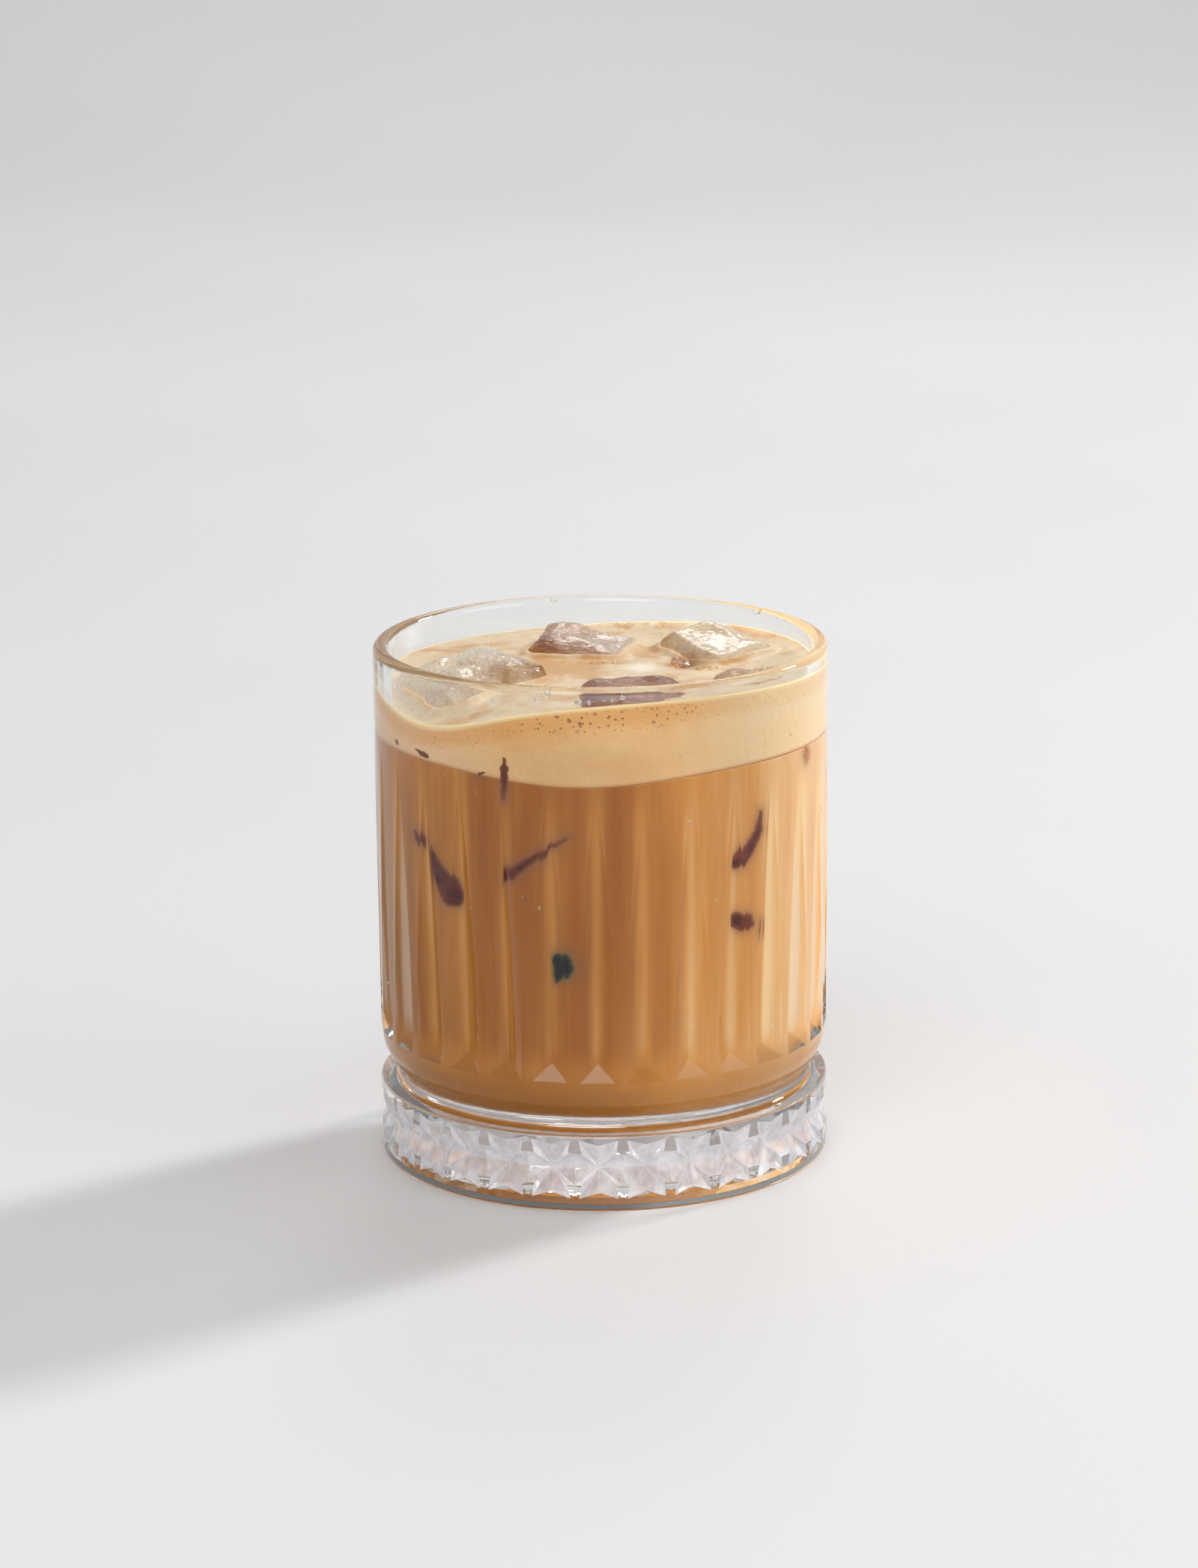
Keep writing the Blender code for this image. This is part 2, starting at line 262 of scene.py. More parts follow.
STAR_MIDDLE = 0.0081
STAR_TIP = (4.9, 0.0055)
STAR_NOTCH = 0.0046
STAR_LOW_NOTCH = 0.0042
STAR_SHOULDER = (4.25, 0.0029)
STAR_DEPTH = 0.0019
STAR_SIDE_DEPTH = 0.0011


def polar(angle, radius, height):
    turn = radians(angle)
    return Vector((radius * sin(turn), -radius * cos(turn), height))


def bore_radius(height):
    """The inner radius of the glass: a straight taper over a rounded corner. Takes numbers or arrays."""
    corner_top = BORE_FLOOR + BORE_CORNER
    share = np.maximum(0.0, height - corner_top) / (RIM_HEIGHT - corner_top)
    down = np.clip((corner_top - height) / BORE_CORNER, 0.0, 1.0)
    return BORE_BOTTOM + (BORE_TOP - BORE_BOTTOM) * share - BORE_CORNER * (1 - np.sqrt(1 - down * down))


low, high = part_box("glass")
print("rim at", round(high.z / MM, 2), "mm, widest radius", round(high.x / MM, 2), "mm")

# %% [markdown]
# ## The pressed glass
#
# A pressed tumbler comes out of a mould whose pattern repeats, so only one repeat of 12 degrees is drawn
# and then spun round the axis. Rows of points run from the bore over the lip and down the outside.
# Neighbouring rows are stitched with triangles across the shorter diagonal, which lets a row with few
# points meet one with many.

# %% Rows of one repeat
HALF = STEP / 2
FINE = (-6.0, -4.9, -2.45, 0.0, 2.45, 4.9, 6.0)
LIP_TURNS = range(0, 181, 15)
FLUTE_ROWS = 24
WAIST_ROWS = 12
ROUND_ROWS = 5
CORNER_TURNS = range(0, 86, 5)
BORE_HEIGHTS = (0.0900, 0.0800, 0.0700, 0.0550, 0.0400)


def line_of(bm, radius, height, angles=FINE):
    return [bm.verts.new(polar(angle, radius, height)) for angle in angles]


def stitch(bm, upper, lower):
    i = j = 0
    while i < len(upper) - 1 or j < len(lower) - 1:
        along_upper = along_lower = inf
        if i < len(upper) - 1:
            along_upper = (upper[i + 1].co - lower[j].co).length
        if j < len(lower) - 1:
            along_lower = (lower[j + 1].co - upper[i].co).length
        if along_upper <= along_lower:
            bm.faces.new((upper[i], lower[j], upper[i + 1]))
            i += 1
        else:
            bm.faces.new((upper[i], lower[j], lower[j + 1]))
            j += 1


def stitch_all(bm, rows):
    for upper, lower in zip(rows, rows[1:]):
        stitch(bm, upper, lower)


def quarter(count, start=0):
    """The turns of a quarter circle in equal steps."""
    return [i / count * pi / 2 for i in range(start, count + 1)]


def flute_share(height):
    down = (FLUTE_TOP - height) / (FLUTE_TOP - FLUTE_END)
    return 1 - (1 - down) ** FLUTE_SWELL


def body_radius(height):
    share = (height - FLUTE_FOOT) / (RIM_HEIGHT - LIP - FLUTE_FOOT)
    return GRIP_RADIUS + (BODY_RADIUS - GRIP_RADIUS) * share


def flute_row(bm, height):
    """Across one flute: plain wall, the two cut faces that meet in a valley, and plain wall again."""
    edge = flute_share(height) * FLUTE_WIDTH / 2
    land = (edge + HALF) / 2
    radius = body_radius(height)
    valley = radius - flute_share(height) * FLUTE_DEPTH
    angles = (-HALF, -land, -edge, 0, edge, land, HALF)
    radii = (radius, radius, radius, valley, radius, radius, radius)
    return [bm.verts.new(polar(angle, r, height)) for angle, r in zip(angles, radii)]


def lip_rows(bm):
    rows = []
    for turn in map(radians, LIP_TURNS):
        radius = BODY_RADIUS - LIP + LIP * cos(turn)
        rows.append(line_of(bm, radius, RIM_HEIGHT - LIP + LIP * sin(turn)))
    return rows


def waist_rows(bm):
    top = FLUTE_FOOT - COLLAR
    swell = GRIP_RADIUS - COLLAR_STEP - WAIST_RADIUS
    rows = []
    for i in range(WAIST_ROWS + 1):
        share = i / WAIST_ROWS
        radius = WAIST_RADIUS + swell * cos(share * pi / 2) ** WAIST_BELLY
        rows.append(line_of(bm, radius, top - (top - WAIST_HEIGHT) * share))
    return rows


def shelf_rows(bm):
    """The hollow corner under the waist, then the shelf of the foot and its rounded edge."""
    rows = []
    hollow = WAIST_HEIGHT - FOOT_TOP
    for turn in quarter(ROUND_ROWS, 1):
        radius = WAIST_RADIUS + hollow * (1 - cos(turn))
        rows.append(line_of(bm, radius, WAIST_HEIGHT - hollow * sin(turn)))
    for turn in quarter(ROUND_ROWS):
        radius = FOOT_RADIUS - SHELF_EDGE + SHELF_EDGE * sin(turn)
        rows.append(line_of(bm, radius, FOOT_TOP - SHELF_EDGE + SHELF_EDGE * cos(turn)))
    return rows


def foot_rows(bm):
    rows = []
    for turn in quarter(ROUND_ROWS):
        radius = FOOT_RADIUS - FOOT_ROUND_IN * (1 - cos(turn))
        rows.append(line_of(bm, radius, FOOT_ROUND_UP * (1 - sin(turn))))
    rows.append(line_of(bm, FOOT_RING, 0.0))
    rows.append(line_of(bm, FOOT_RING - PUNT_SLOPE, PUNT_DEPTH))
    rows.append(line_of(bm, FOOT_RING / 2, PUNT_DEPTH))
    rows.append([bm.verts.new((0, 0, PUNT_DEPTH))])
    return rows


def bore_rows(bm):
    corner = [BORE_FLOOR + BORE_CORNER * (1 - sin(radians(turn))) for turn in CORNER_TURNS]
    heights = [*BORE_HEIGHTS, *corner]
    rows = [line_of(bm, float(bore_radius(height)), height) for height in heights]
    rows.append(line_of(bm, BORE_BOTTOM / 3, BORE_FLOOR))
    rows.append([bm.verts.new((0, 0, BORE_FLOOR))])
    return rows


print("a repeat is", STEP, "degrees wide,", round(radians(STEP) * BODY_RADIUS / MM, 2), "mm")

# %% [markdown]
# ### The stars
#
# Each star is cut into the rim of the foot as a hollow pyramid: facets fall from the star's outline to one
# deep point. A texture could draw the stars, but only real facets bend the light as cut glass does, so
# they are modelled. The uncut glass between two stars stays on the round face of the foot.

# %% Cut one star


def star_band(bm, top_row, bottom_row):
    tip_turn, tip_rise = STAR_TIP
    shoulder_turn, shoulder_rise = STAR_SHOULDER
    centre = len(FINE) // 2
    middle = bm.verts.new(polar(0, FOOT_RADIUS - STAR_DEPTH, STAR_MIDDLE))
    for up, edge_row in ((1, top_row), (-1, bottom_row)):
        notch_rise = STAR_NOTCH if up > 0 else STAR_LOW_NOTCH
        notch = bm.verts.new(polar(0, FOOT_RADIUS, STAR_MIDDLE + up * notch_rise))
        for side in (-1, 1):
            shoulder_place = STAR_MIDDLE + up * shoulder_rise
            tip = bm.verts.new(polar(side * tip_turn, FOOT_RADIUS, STAR_MIDDLE + up * tip_rise))
            shoulder = bm.verts.new(polar(side * shoulder_turn, FOOT_RADIUS, shoulder_place))
            meeting = bm.verts.new(polar(side * HALF, FOOT_RADIUS, shoulder_place))
            joint = bm.verts.new(polar(side * HALF, FOOT_RADIUS - STAR_SIDE_DEPTH, STAR_MIDDLE))
            half_way, over_tip, over_end = [edge_row[centre + side * i] for i in (1, 2, 3)]
            for corners in (
                (middle, notch, tip),
                (middle, tip, shoulder),
                (middle, shoulder, meeting),
                (middle, meeting, joint),
                (over_end, meeting, shoulder, tip, over_tip),
                (over_tip, tip, half_way),
                (half_way, tip, notch),
                (half_way, notch, edge_row[centre]),
            ):
                bm.faces.new(corners).material_index = int(corners[0] is middle)


print("stars are", round(2 * STAR_TIP[1] / MM, 1), "mm high and", STAR_DEPTH / MM, "mm deep")

# %% [markdown]
# ### From one repeat to the whole tumbler
#
# Spinning the repeat gives the closed glass. Fire polishing leaves every cut edge a little soft, and that
# soft edge is what catches a thin line of light. A narrow Bevel modifier rounds the creases, and weighted
# normals keep the cut faces flat between them.

# %% Make the glass
MERGE = 1e-6
EDGE_SOFTNESS = 0.00014
SHARPEST_FLAT = 14  # degrees between two faces, below which their edge isn't softened


def modify(piece, kind, **settings):
    made = piece.modifiers.new(kind.lower(), kind)
    for name, value in settings.items():
        setattr(made, name, value)


def keep(name, bm, *finishes):
    """Turns the points and faces into an object with its finishes."""
    bmesh.ops.recalc_face_normals(bm, faces=bm.faces[:])
    mesh = bpy.data.meshes.new(name)
    bm.to_mesh(mesh)
    bm.free()
    for material in finishes:
        mesh.materials.append(material)
    mesh.shade_smooth()
    return placed(name, mesh)


def glass_finish():
    """Clear pressed glass: faintly wavy, with a breath of haze."""
    finish = Finish("clear_pressed_glass")
    haze = finish.noise(0.012, 3).between(0.35, 0.8)
    shader = finish.surface({
        "Base Color": finish.mix(haze, (0.985, 0.99, 0.985, 1), (0.96, 0.97, 0.965, 1)),
        "Roughness": haze * 0.02,
        "IOR": 1.5,
        "Transmission Weight": 1.0,
        "Normal": finish.bump(finish.noise(0.009, 1), 0.00006),
    })
    return finish.done(finish.lets_lamps_through(shader, (0.86, 0.87, 0.87, 1)))


def star_finish():
    """The cut facets: a fine grain from the mould, and a near-white layer that is a painted silvery
    reflection.
    """
    finish = Finish("star_cut_glass")
    grain = finish.noise(0.0009, 3, 0.6, scale=(1, 1, 0.5))
    flow = finish.noise(0.003, 2)
    bumpy = finish.bump(grain * 0.4 + flow, 0.00010)
    clear = finish.surface({
        "Base Color": finish.mix(grain, (0.95, 0.95, 0.97, 1), (0.99, 0.99, 1.0, 1)),
        "Roughness": 0.04 + grain * 0.14,
        "IOR": 1.5,
        "Transmission Weight": 1.0,
        "Normal": bumpy,
    })
    # Painted reflection: this opaque near-white layer stands in for the silvery light that the facets throw
    # back.
    grain_and_painted_silvering = finish.surface({
        "Base Color": finish.mix(flow.between(0.3, 0.7), colour(232, 230, 238), colour(250, 250, 254)),
        "Roughness": 0.12 + grain * 0.15,
        "Coat Weight": 1.0,
        "Normal": bumpy,
    })
    both = finish.blend(0.5 + (grain * 0.5 + flow * 0.5).between(0.3, 0.7) * 0.25, clear, grain_and_painted_silvering)
    return finish.done(finish.lets_lamps_through(both, (0.8, 0.8, 0.82, 1)))


def make_glass():
    bm = bmesh.new()
    outer = lip_rows(bm)[::-1]
    flute_run = FLUTE_TOP - FLUTE_END
    outer.append(line_of(bm, body_radius(FLUTE_TOP), FLUTE_TOP))
    outer += [flute_row(bm, FLUTE_TOP - flute_run * (i + 1) / FLUTE_ROWS) for i in range(FLUTE_ROWS)]
    foot_half = FLUTE_FOOT_WIDTH / 2
    land = (foot_half + HALF) / 2
    outer.append(line_of(bm, GRIP_RADIUS, FLUTE_FOOT, (-HALF, -land, -foot_half, foot_half, land, HALF)))
    outer += waist_rows(bm) + shelf_rows(bm)
    stitch_all(bm, outer)
    under = foot_rows(bm)
    stitch_all(bm, under)
    star_band(bm, outer[-1], under[0])
    stitch_all(bm, [outer[0]] + bore_rows(bm))
    first_turn = Matrix.Rotation(radians(FIRST_TURN), 3, "Z")
    bmesh.ops.rotate(bm, verts=bm.verts[:], cent=(0, 0, 0), matrix=first_turn)
    bmesh.ops.spin(
        bm,
        geom=bm.verts[:] + bm.edges[:] + bm.faces[:],
        cent=(0, 0, 0),
        axis=(0, 0, 1),
        angle=radians(360 - STEP),
        steps=REPEATS - 1,
        use_duplicate=True,
    )
    bmesh.ops.remove_doubles(bm, verts=bm.verts[:], dist=MERGE)
    piece = keep("tumbler", bm, glass_finish(), star_finish())
    limit = radians(SHARPEST_FLAT)
    modify(piece, "BEVEL", width=EDGE_SOFTNESS, segments=2, limit_method="ANGLE", angle_limit=limit)
    modify(piece, "WEIGHTED_NORMAL", keep_sharp=False)
    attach(piece, "root")
    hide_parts("glass")
    return piece


tumbler = make_glass()
print("tumbler faces:", len(tumbler.data.polygons))

# %% [markdown]
# ## The level lines of the drink
#
# Coffee and foam are liquids with a boundary between them, and the foam climbs the wall. Both lines are
# formulas of the angle and the radius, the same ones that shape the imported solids.

# %% Levels
LAYER_HEIGHT = 0.0804
LAYER_DIP = 0.0020
LAYER_DIP_PLACE = (-6, 28)
FOAM_HEIGHT = 0.0913
FOAM_RIPPLE = 0.0003
RIPPLE_START = 40
WALL_FOAM = 0.0923
WALL_FOAM_TILT = 0.0013
WALL_FOAM_HIGH_SIDE = 70
WALL_FOAM_FRONT = 0.0006
WALL_FOAM_FRONT_PLACE = (10, 40)
WALL_FOAM_DIP = 0.0046
WALL_FOAM_DIP_PLACE = (-52, 27)
INTO_WALL = 0.00006  # the drink reaches this far into the glass, so that no air shows between them


def bump_at(angle, centre, width):
    away = (angle - centre + 180) % 360 - 180
    return np.exp(-((away / width) ** 2))


def layer_height(angle, radius):
    return LAYER_HEIGHT - LAYER_DIP * bump_at(angle, *LAYER_DIP_PLACE) * (radius / BORE_TOP) ** 2


def foam_height(angle, radius):
    wall = WALL_FOAM + WALL_FOAM_TILT * np.cos(np.radians(angle - WALL_FOAM_HIGH_SIDE))
    wall = wall + WALL_FOAM_FRONT * bump_at(angle, *WALL_FOAM_FRONT_PLACE)
    wall = wall - WALL_FOAM_DIP * bump_at(angle, *WALL_FOAM_DIP_PLACE)
    climb = (radius / BORE_TOP) ** 4
    ripple = FOAM_RIPPLE * np.sin(np.radians(3 * angle + RIPPLE_START)) * (radius / BORE_TOP)
    return FOAM_HEIGHT + (wall - FOAM_HEIGHT) * climb + ripple


def corners_of(mesh):
    """All points of a mesh as an array, with their angles and radii."""
    places = np.zeros(len(mesh.vertices) * 3)
    mesh.vertices.foreach_get("co", places)
    places = places.reshape(-1, 3)
    angles = np.degrees(np.arctan2(places[:, 0], -places[:, 1]))
    return places, angles, np.hypot(places[:, 0], places[:, 1])


def store(mesh, name, values):
    """Keeps one number a point, for the finish to read."""
    mesh.attributes.new(name, "FLOAT", "POINT").data.foreach_set("value", values.astype(np.float32))


print("foam against the front wall:", round(float(foam_height(0, BORE_TOP)) / MM, 1), "mm")

# %% [markdown]
# ## Ice
#
# Five cubes stand out of the foam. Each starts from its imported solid, so it keeps that form. Voxel
# remeshing turns the solid into an even skin, smoothing melts the edges, and noise along the normals gives
# the lumps and the fine ridges of melting ice. Where a cube leans on the glass it is pushed just into the
# wall, as wet ice has no air there.

# %% Shape the ice
VOXEL = 0.00036
MELT_PASSES = 7
MELT_STRENGTH = 0.6
NEAR_WALL = 0.00055
LUMPS = (0.0058, 0.00095)  # width and height of the lumps, in metres
RIDGES = (0.0012, 0.00013)
RIDGE_STRETCH = (1.0, 2.2, 0.8)
LUMP_SINK = 0.3  # share of a lump's height by which the whole skin moves in


def evaluated_copy(piece):
    graph = bpy.context.evaluated_depsgraph_get()
    return bpy.data.meshes.new_from_object(piece.evaluated_get(graph))


def apply_all(piece):
    mesh = evaluated_copy(piece)
    piece.modifiers.clear()
    piece.data = mesh


def melted(node_name):
    """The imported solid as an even, smooth skin."""
    rough = placed(node_name + "_rough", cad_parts[node_name].data.copy())
    modify(rough, "REMESH", mode="VOXEL", voxel_size=VOXEL)
    modify(rough, "SMOOTH", iterations=MELT_PASSES, factor=MELT_STRENGTH)
    mesh = evaluated_copy(rough)
    bpy.data.objects.remove(rough)
    return mesh


def roughen(mesh, shift):
    """Lumps and ridges along the normals; shift picks another stretch of the same noise."""
    lump_width, lump_height = LUMPS
    ridge_width, ridge_height = RIDGES
    normals = [vertex.normal.copy() for vertex in mesh.vertices]
    for vertex, normal in zip(mesh.vertices, normals):
        place = vertex.co + shift
        lump = noise.noise(place / lump_width)
        stretched = Vector([part * scale for part, scale in zip(place, RIDGE_STRETCH)]) / ridge_width
        ridge = 1 - abs(noise.noise(stretched)) * 2
        vertex.co += normal * (lump_height * lump - lump_height * LUMP_SINK + ridge_height * ridge)


def press_on_wall(mesh):
    for vertex in mesh.vertices:
        radius = hypot(vertex.co.x, vertex.co.y)
        wall = float(bore_radius(vertex.co.z))
        if radius > wall - NEAR_WALL:
            vertex.co.xy *= (wall + INTO_WALL / 2) / radius


def ice_finish(name, tint, deep, frost, haze, grit):
    """Clear wet ice that is deep in colour at one end and turns to glittering frost at the other."""
    finish = Finish(name)
    clouds = finish.noise(0.0065, 3)
    grain = finish.noise(0.0009, 3, 0.65)
    lines = finish.noise(0.0012, 2, scale=(0.3, 1.2, 1.5))
    frosty = finish.stored("frosty")
    clear = finish.surface({
        "Base Color": finish.mix((frosty + clouds - 0.5).between(0.1, 0.7), deep, tint),
        "Roughness": haze + grain * 0.05,
        "IOR": 1.31,
        "Transmission Weight": 1.0,
        "Normal": finish.bump(grain * 0.4 + lines, 0.00028),
    })
    rime = finish.surface({
        "Base Color": finish.mix(grain.between(0.35, 0.65), frost, tint),
        "Roughness": 0.16 + grain * 0.2,
        "IOR": 1.31,
        "Transmission Weight": 0.35,
        "Coat Weight": 1.0,
        "Coat Roughness": 0.04,
        "Normal": finish.bump(grain + lines * 0.4, grit),
    })
    cover = (frosty + (clouds - 0.5) * 1.3 + (grain - 0.5) * 0.6).between(0.2, 1.05)
    both = finish.blend(0.08 + cover * 0.72, clear, rime)
    return finish.done(finish.lets_lamps_through(both, tint))


# Colours of thin ice, thick ice and frost. Then haze, depth of the frost's grain, how frosty the cube is and
# the way in which its frost grows.
ICE_LOOKS = {
    "ice_left": (
        colour(255, 244, 214), colour(220, 150, 70), colour(255, 244, 218),
        0.02, 0.00040, 0.50, (-0.62, 0.15, 0.45),
    ),
    "ice_back": (
        colour(246, 222, 192), colour(214, 136, 72), colour(216, 202, 190),
        0.02, 0.00016, 0.20, (0.40, 0.1, 0.50),
    ),
    "ice_front": (
        colour(236, 196, 152), colour(204, 152, 104), colour(170, 128, 98),
        0.04, 0.00014, 0.12, (-0.3, 0.0, 0.1),
    ),
    "ice_right": (
        colour(255, 238, 204), colour(240, 180, 112), colour(255, 238, 204),
        0.05, 0.00006, 0.60, (0.2, 0.1, 0.45),
    ),
    "ice_edge": (
        colour(255, 224, 166), colour(250, 184, 104), colour(246, 196, 134),
        0.02, 0.00014, 0.50, (0.3, 0.0, 0.2),
    ),
}
LOW_CUBES = ("wet_ice_front", "wet_ice_edge")  # the foam sinks round these two, and climbs the others


def frost_share(mesh, amount, way):
    """How frosty each point is, from its place between the two ends of the cube."""
    places = corners_of(mesh)[0]
    low, high = places.min(axis=0), places.max(axis=0)
    return amount + ((places - low) / (high - low) * 2 - 1) @ np.array(way)


def make_ice(name, number):
    *look, amount, way = ICE_LOOKS[name]
    mesh = melted(name)
    roughen(mesh, Vector((0.1 * number, 0.03 * number, 0)))
    press_on_wall(mesh)
    store(mesh, "frosty", frost_share(mesh, amount, way))
    mesh.materials.clear()
    mesh.materials.append(ice_finish("wet_" + name, *look))
    mesh.shade_smooth()
    piece = placed("wet_" + name, mesh)
    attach(piece, "root")
    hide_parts(name)
    return piece


ice = [make_ice(name, number) for number, name in enumerate(ICE_LOOKS)]
print("ice faces:", {piece.name: len(piece.data.polygons) for piece in ice})

# %% [markdown]
# ## Rings of points for the drink
#
# A drink has no shape of its own: it takes the form of the bore. Closed rings of points follow the wall,
# the floor and the level line, and faces between neighbouring rings make the skin. The rings are dense,
# because the finish reads numbers that are stored on the points.

# %% Skins of the drink
SIDES = 540
ANGLES = np.arange(SIDES) * 360 / SIDES


def ring(bm, radii, heights):
    radii = np.broadcast_to(radii, SIDES)
    heights = np.broadcast_to(heights, SIDES)
    return [bm.verts.new(polar(a, r, h)) for a, r, h in zip(ANGLES, radii, heights)]


def skin(bm, rings):
    for upper, lower in zip(rings, rings[1:]):
        for i in range(SIDES):
            j = (i + 1) % SIDES
            bm.faces.new((upper[i], lower[i], lower[j], upper[j]))


def cap(bm, loop, height):
    centre = bm.verts.new((0, 0, height))
    for i, corner in enumerate(loop):
        bm.faces.new((corner, loop[(i + 1) % SIDES], centre))


def cut_round_ice(piece, detail):
    """Leaves room for each cube, a hair too small, so that they touch. Detail is the share of faces kept."""
    for cube in ice:
        cutter = placed(cube.name + "_room", cube.data.copy())
        normals = [vertex.normal.copy() for vertex in cutter.data.vertices]
        for vertex, normal in zip(cutter.data.vertices, normals):
            vertex.co -= normal * INTO_WALL
        modify(cutter, "DECIMATE", ratio=detail)
        modify(piece, "BOOLEAN", operation="DIFFERENCE", solver="MANIFOLD", object=cutter)
        apply_all(piece)
        bpy.data.objects.remove(cutter)
    piece.data.shade_smooth()


print("one step along the wall:", round(radians(360 / SIDES) * BORE_TOP / MM, 2), "mm")

# %% [markdown]
# ## Sunk ice against the wall
#
# More cubes lie under the coffee. Only the corners that press on the glass show, as dark marks with soft
# edges, because a film of milky coffee hides everything a millimetre further in. Each mark is a stroke
# along the wall: a few points with a half width. The strokes make real lenses of ice, and the coffee's
# finish reads how near they are.

# %% Where the sunk ice shows
# Each stroke is a list of (angle, height in mm, half width in mm). The last word picks its colour.
STROKES = (
    (((-66.3, 82.2, 0.1), (-65.1, 81.9, 0.45), (-63.8, 81.5, 0.1)), "brown"),
    (((-56.0, 81.9, 0.1), (-53.5, 81.5, 0.5), (-51.0, 81.2, 0.45), (-50.0, 81.1, 0.1)), "brown"),
    (
        ((-25.4, 83.2, 0.2), (-25.6, 81.2, 0.8), (-25.7, 79.0, 0.75), (-25.8, 77.0, 0.35),
         (-25.9, 75.6, 0.1)),
        "brown",
    ),
    (((-34.0, 79.4, 0.1), (-32.7, 79.8, 0.25), (-31.4, 80.2, 0.1)), "brown"),
    (((65.7, 80.0, 0.6), (66.0, 79.0, 1.1), (66.2, 78.0, 0.7)), "amber"),
    (((-57.0, 66.2, 0.4), (-56.1, 65.2, 0.8), (-55.6, 64.2, 0.3)), "brown"),
    (
        ((-52.5, 65.8, 0.2), (-50.6, 63.0, 1.0), (-48.0, 60.2, 1.7), (-45.2, 57.9, 2.3), (-44.0, 56.3, 2.2),
         (-43.4, 54.9, 0.8)),
        "brown",
    ),
    (
        ((-26.9, 60.4, 0.5), (-25.2, 61.6, 1.1), (-20.5, 64.0, 0.75), (-15.5, 66.4, 0.55),
         (-9.1, 69.3, 0.1)),
        "brown",
    ),
    (((-10.6, 46.3, 1.4), (-10.1, 45.2, 1.5), (-10.6, 44.0, 1.2), (-11.5, 42.6, 0.3)), "black"),
    (
        ((45.6, 70.9, 0.3), (44.8, 67.6, 0.9), (42.0, 64.9, 1.2), (38.9, 62.6, 1.3), (36.7, 62.0, 0.3)),
        "brown",
    ),
    (((37.6, 52.2, 0.5), (39.2, 51.6, 1.45), (41.2, 50.9, 1.5), (43.2, 50.3, 0.4)), "brown"),
    (((46.2, 50.6, 0.1), (46.3, 49.1, 0.35), (46.4, 47.4, 0.1)), "brown"),
)
WALL_RADIUS = 0.0384  # mean radius of the bore where the marks lie


def on_wall(angle, height_mm):
    """A point of the wall unrolled to a flat sheet, in millimetres."""
    return np.array([radians(angle) * WALL_RADIUS / MM, height_mm])


def nearness(angles, heights, kinds):
    """For every point of the wall, how far inside (above 0) or outside a stroke it lies, in mm."""
    flat = np.stack([np.radians(angles) * WALL_RADIUS / MM, heights / MM], 1)
    best = np.full(len(flat), -50.0)
    for points, kind in STROKES:
        if kind not in kinds:
            continue
        for (a0, h0, w0), (a1, h1, w1) in zip(points, points[1:]):
            start, end = on_wall(a0, h0), on_wall(a1, h1)
            run = end - start
            share = np.clip(((flat - start) @ run) / (run @ run), 0, 1)
            away = np.linalg.norm(flat - start - share[:, None] * run, axis=1)
            best = np.maximum(best, w0 + (w1 - w0) * share - away)
    return best


print("marks of sunk ice:", len(STROKES))

# %% [markdown]
# ### Lenses of ice
#
# The marks could be painted only, but ice that touches glass is a solid thing. A patch of the wall's own
# grid is lifted into the wall where it lies inside a stroke and sinks into the coffee where it lies
# outside. Faces well outside are left out, and a Solidify modifier gives the patch its thickness.

# %% Make the sunk ice
PATCH_STEP = 0.25  # mm between the points of the patch
PATCH_MARGIN = 1.2  # mm of patch kept round a stroke
LENS_RISE = 0.00012
LENS_SLOPE = 0.00025
LENS_THICKNESS = 0.0016
LENS_SINK = 0.0012
LENS_GROWTH = 0.1  # mm
EDGE_NOISES = ((0.8, 1.1, 0, 0.32), (2.3, 3.1, 5, 0.18))  # scale round, scale up, layer, strength in mm


def sunk_ice_finish():
    finish = Finish("sunk_ice")
    clouds = finish.noise(0.0022, 3)
    inside = finish.stored("inside").between(-0.25, 0.75)
    brown = finish.mix(clouds.between(0.3, 0.7), colour(70, 10, 4), colour(116, 46, 24))
    brown = finish.mix(inside, colour(142, 84, 46), brown)
    black = finish.mix(clouds.between(0.35, 0.75), colour(2, 2, 4), colour(16, 22, 22))
    black = finish.mix(inside, colour(70, 72, 50), black)
    amber = finish.mix(clouds.between(0.3, 0.7), colour(136, 56, 6), colour(196, 112, 40))
    amber = finish.mix(inside, colour(205, 140, 76), amber)
    tone = finish.mix(finish.stored("black").between(0.4, 0.6), brown, black)
    tone = finish.mix(finish.stored("amber").between(0.4, 0.6), tone, amber)
    shader = finish.surface({
        "Base Color": tone,
        "Roughness": 0.3 + clouds * 0.2,
        "Specular IOR Level": 0.05,
        "Normal": finish.bump(clouds, 0.0002),
    })
    return finish.done(shader)


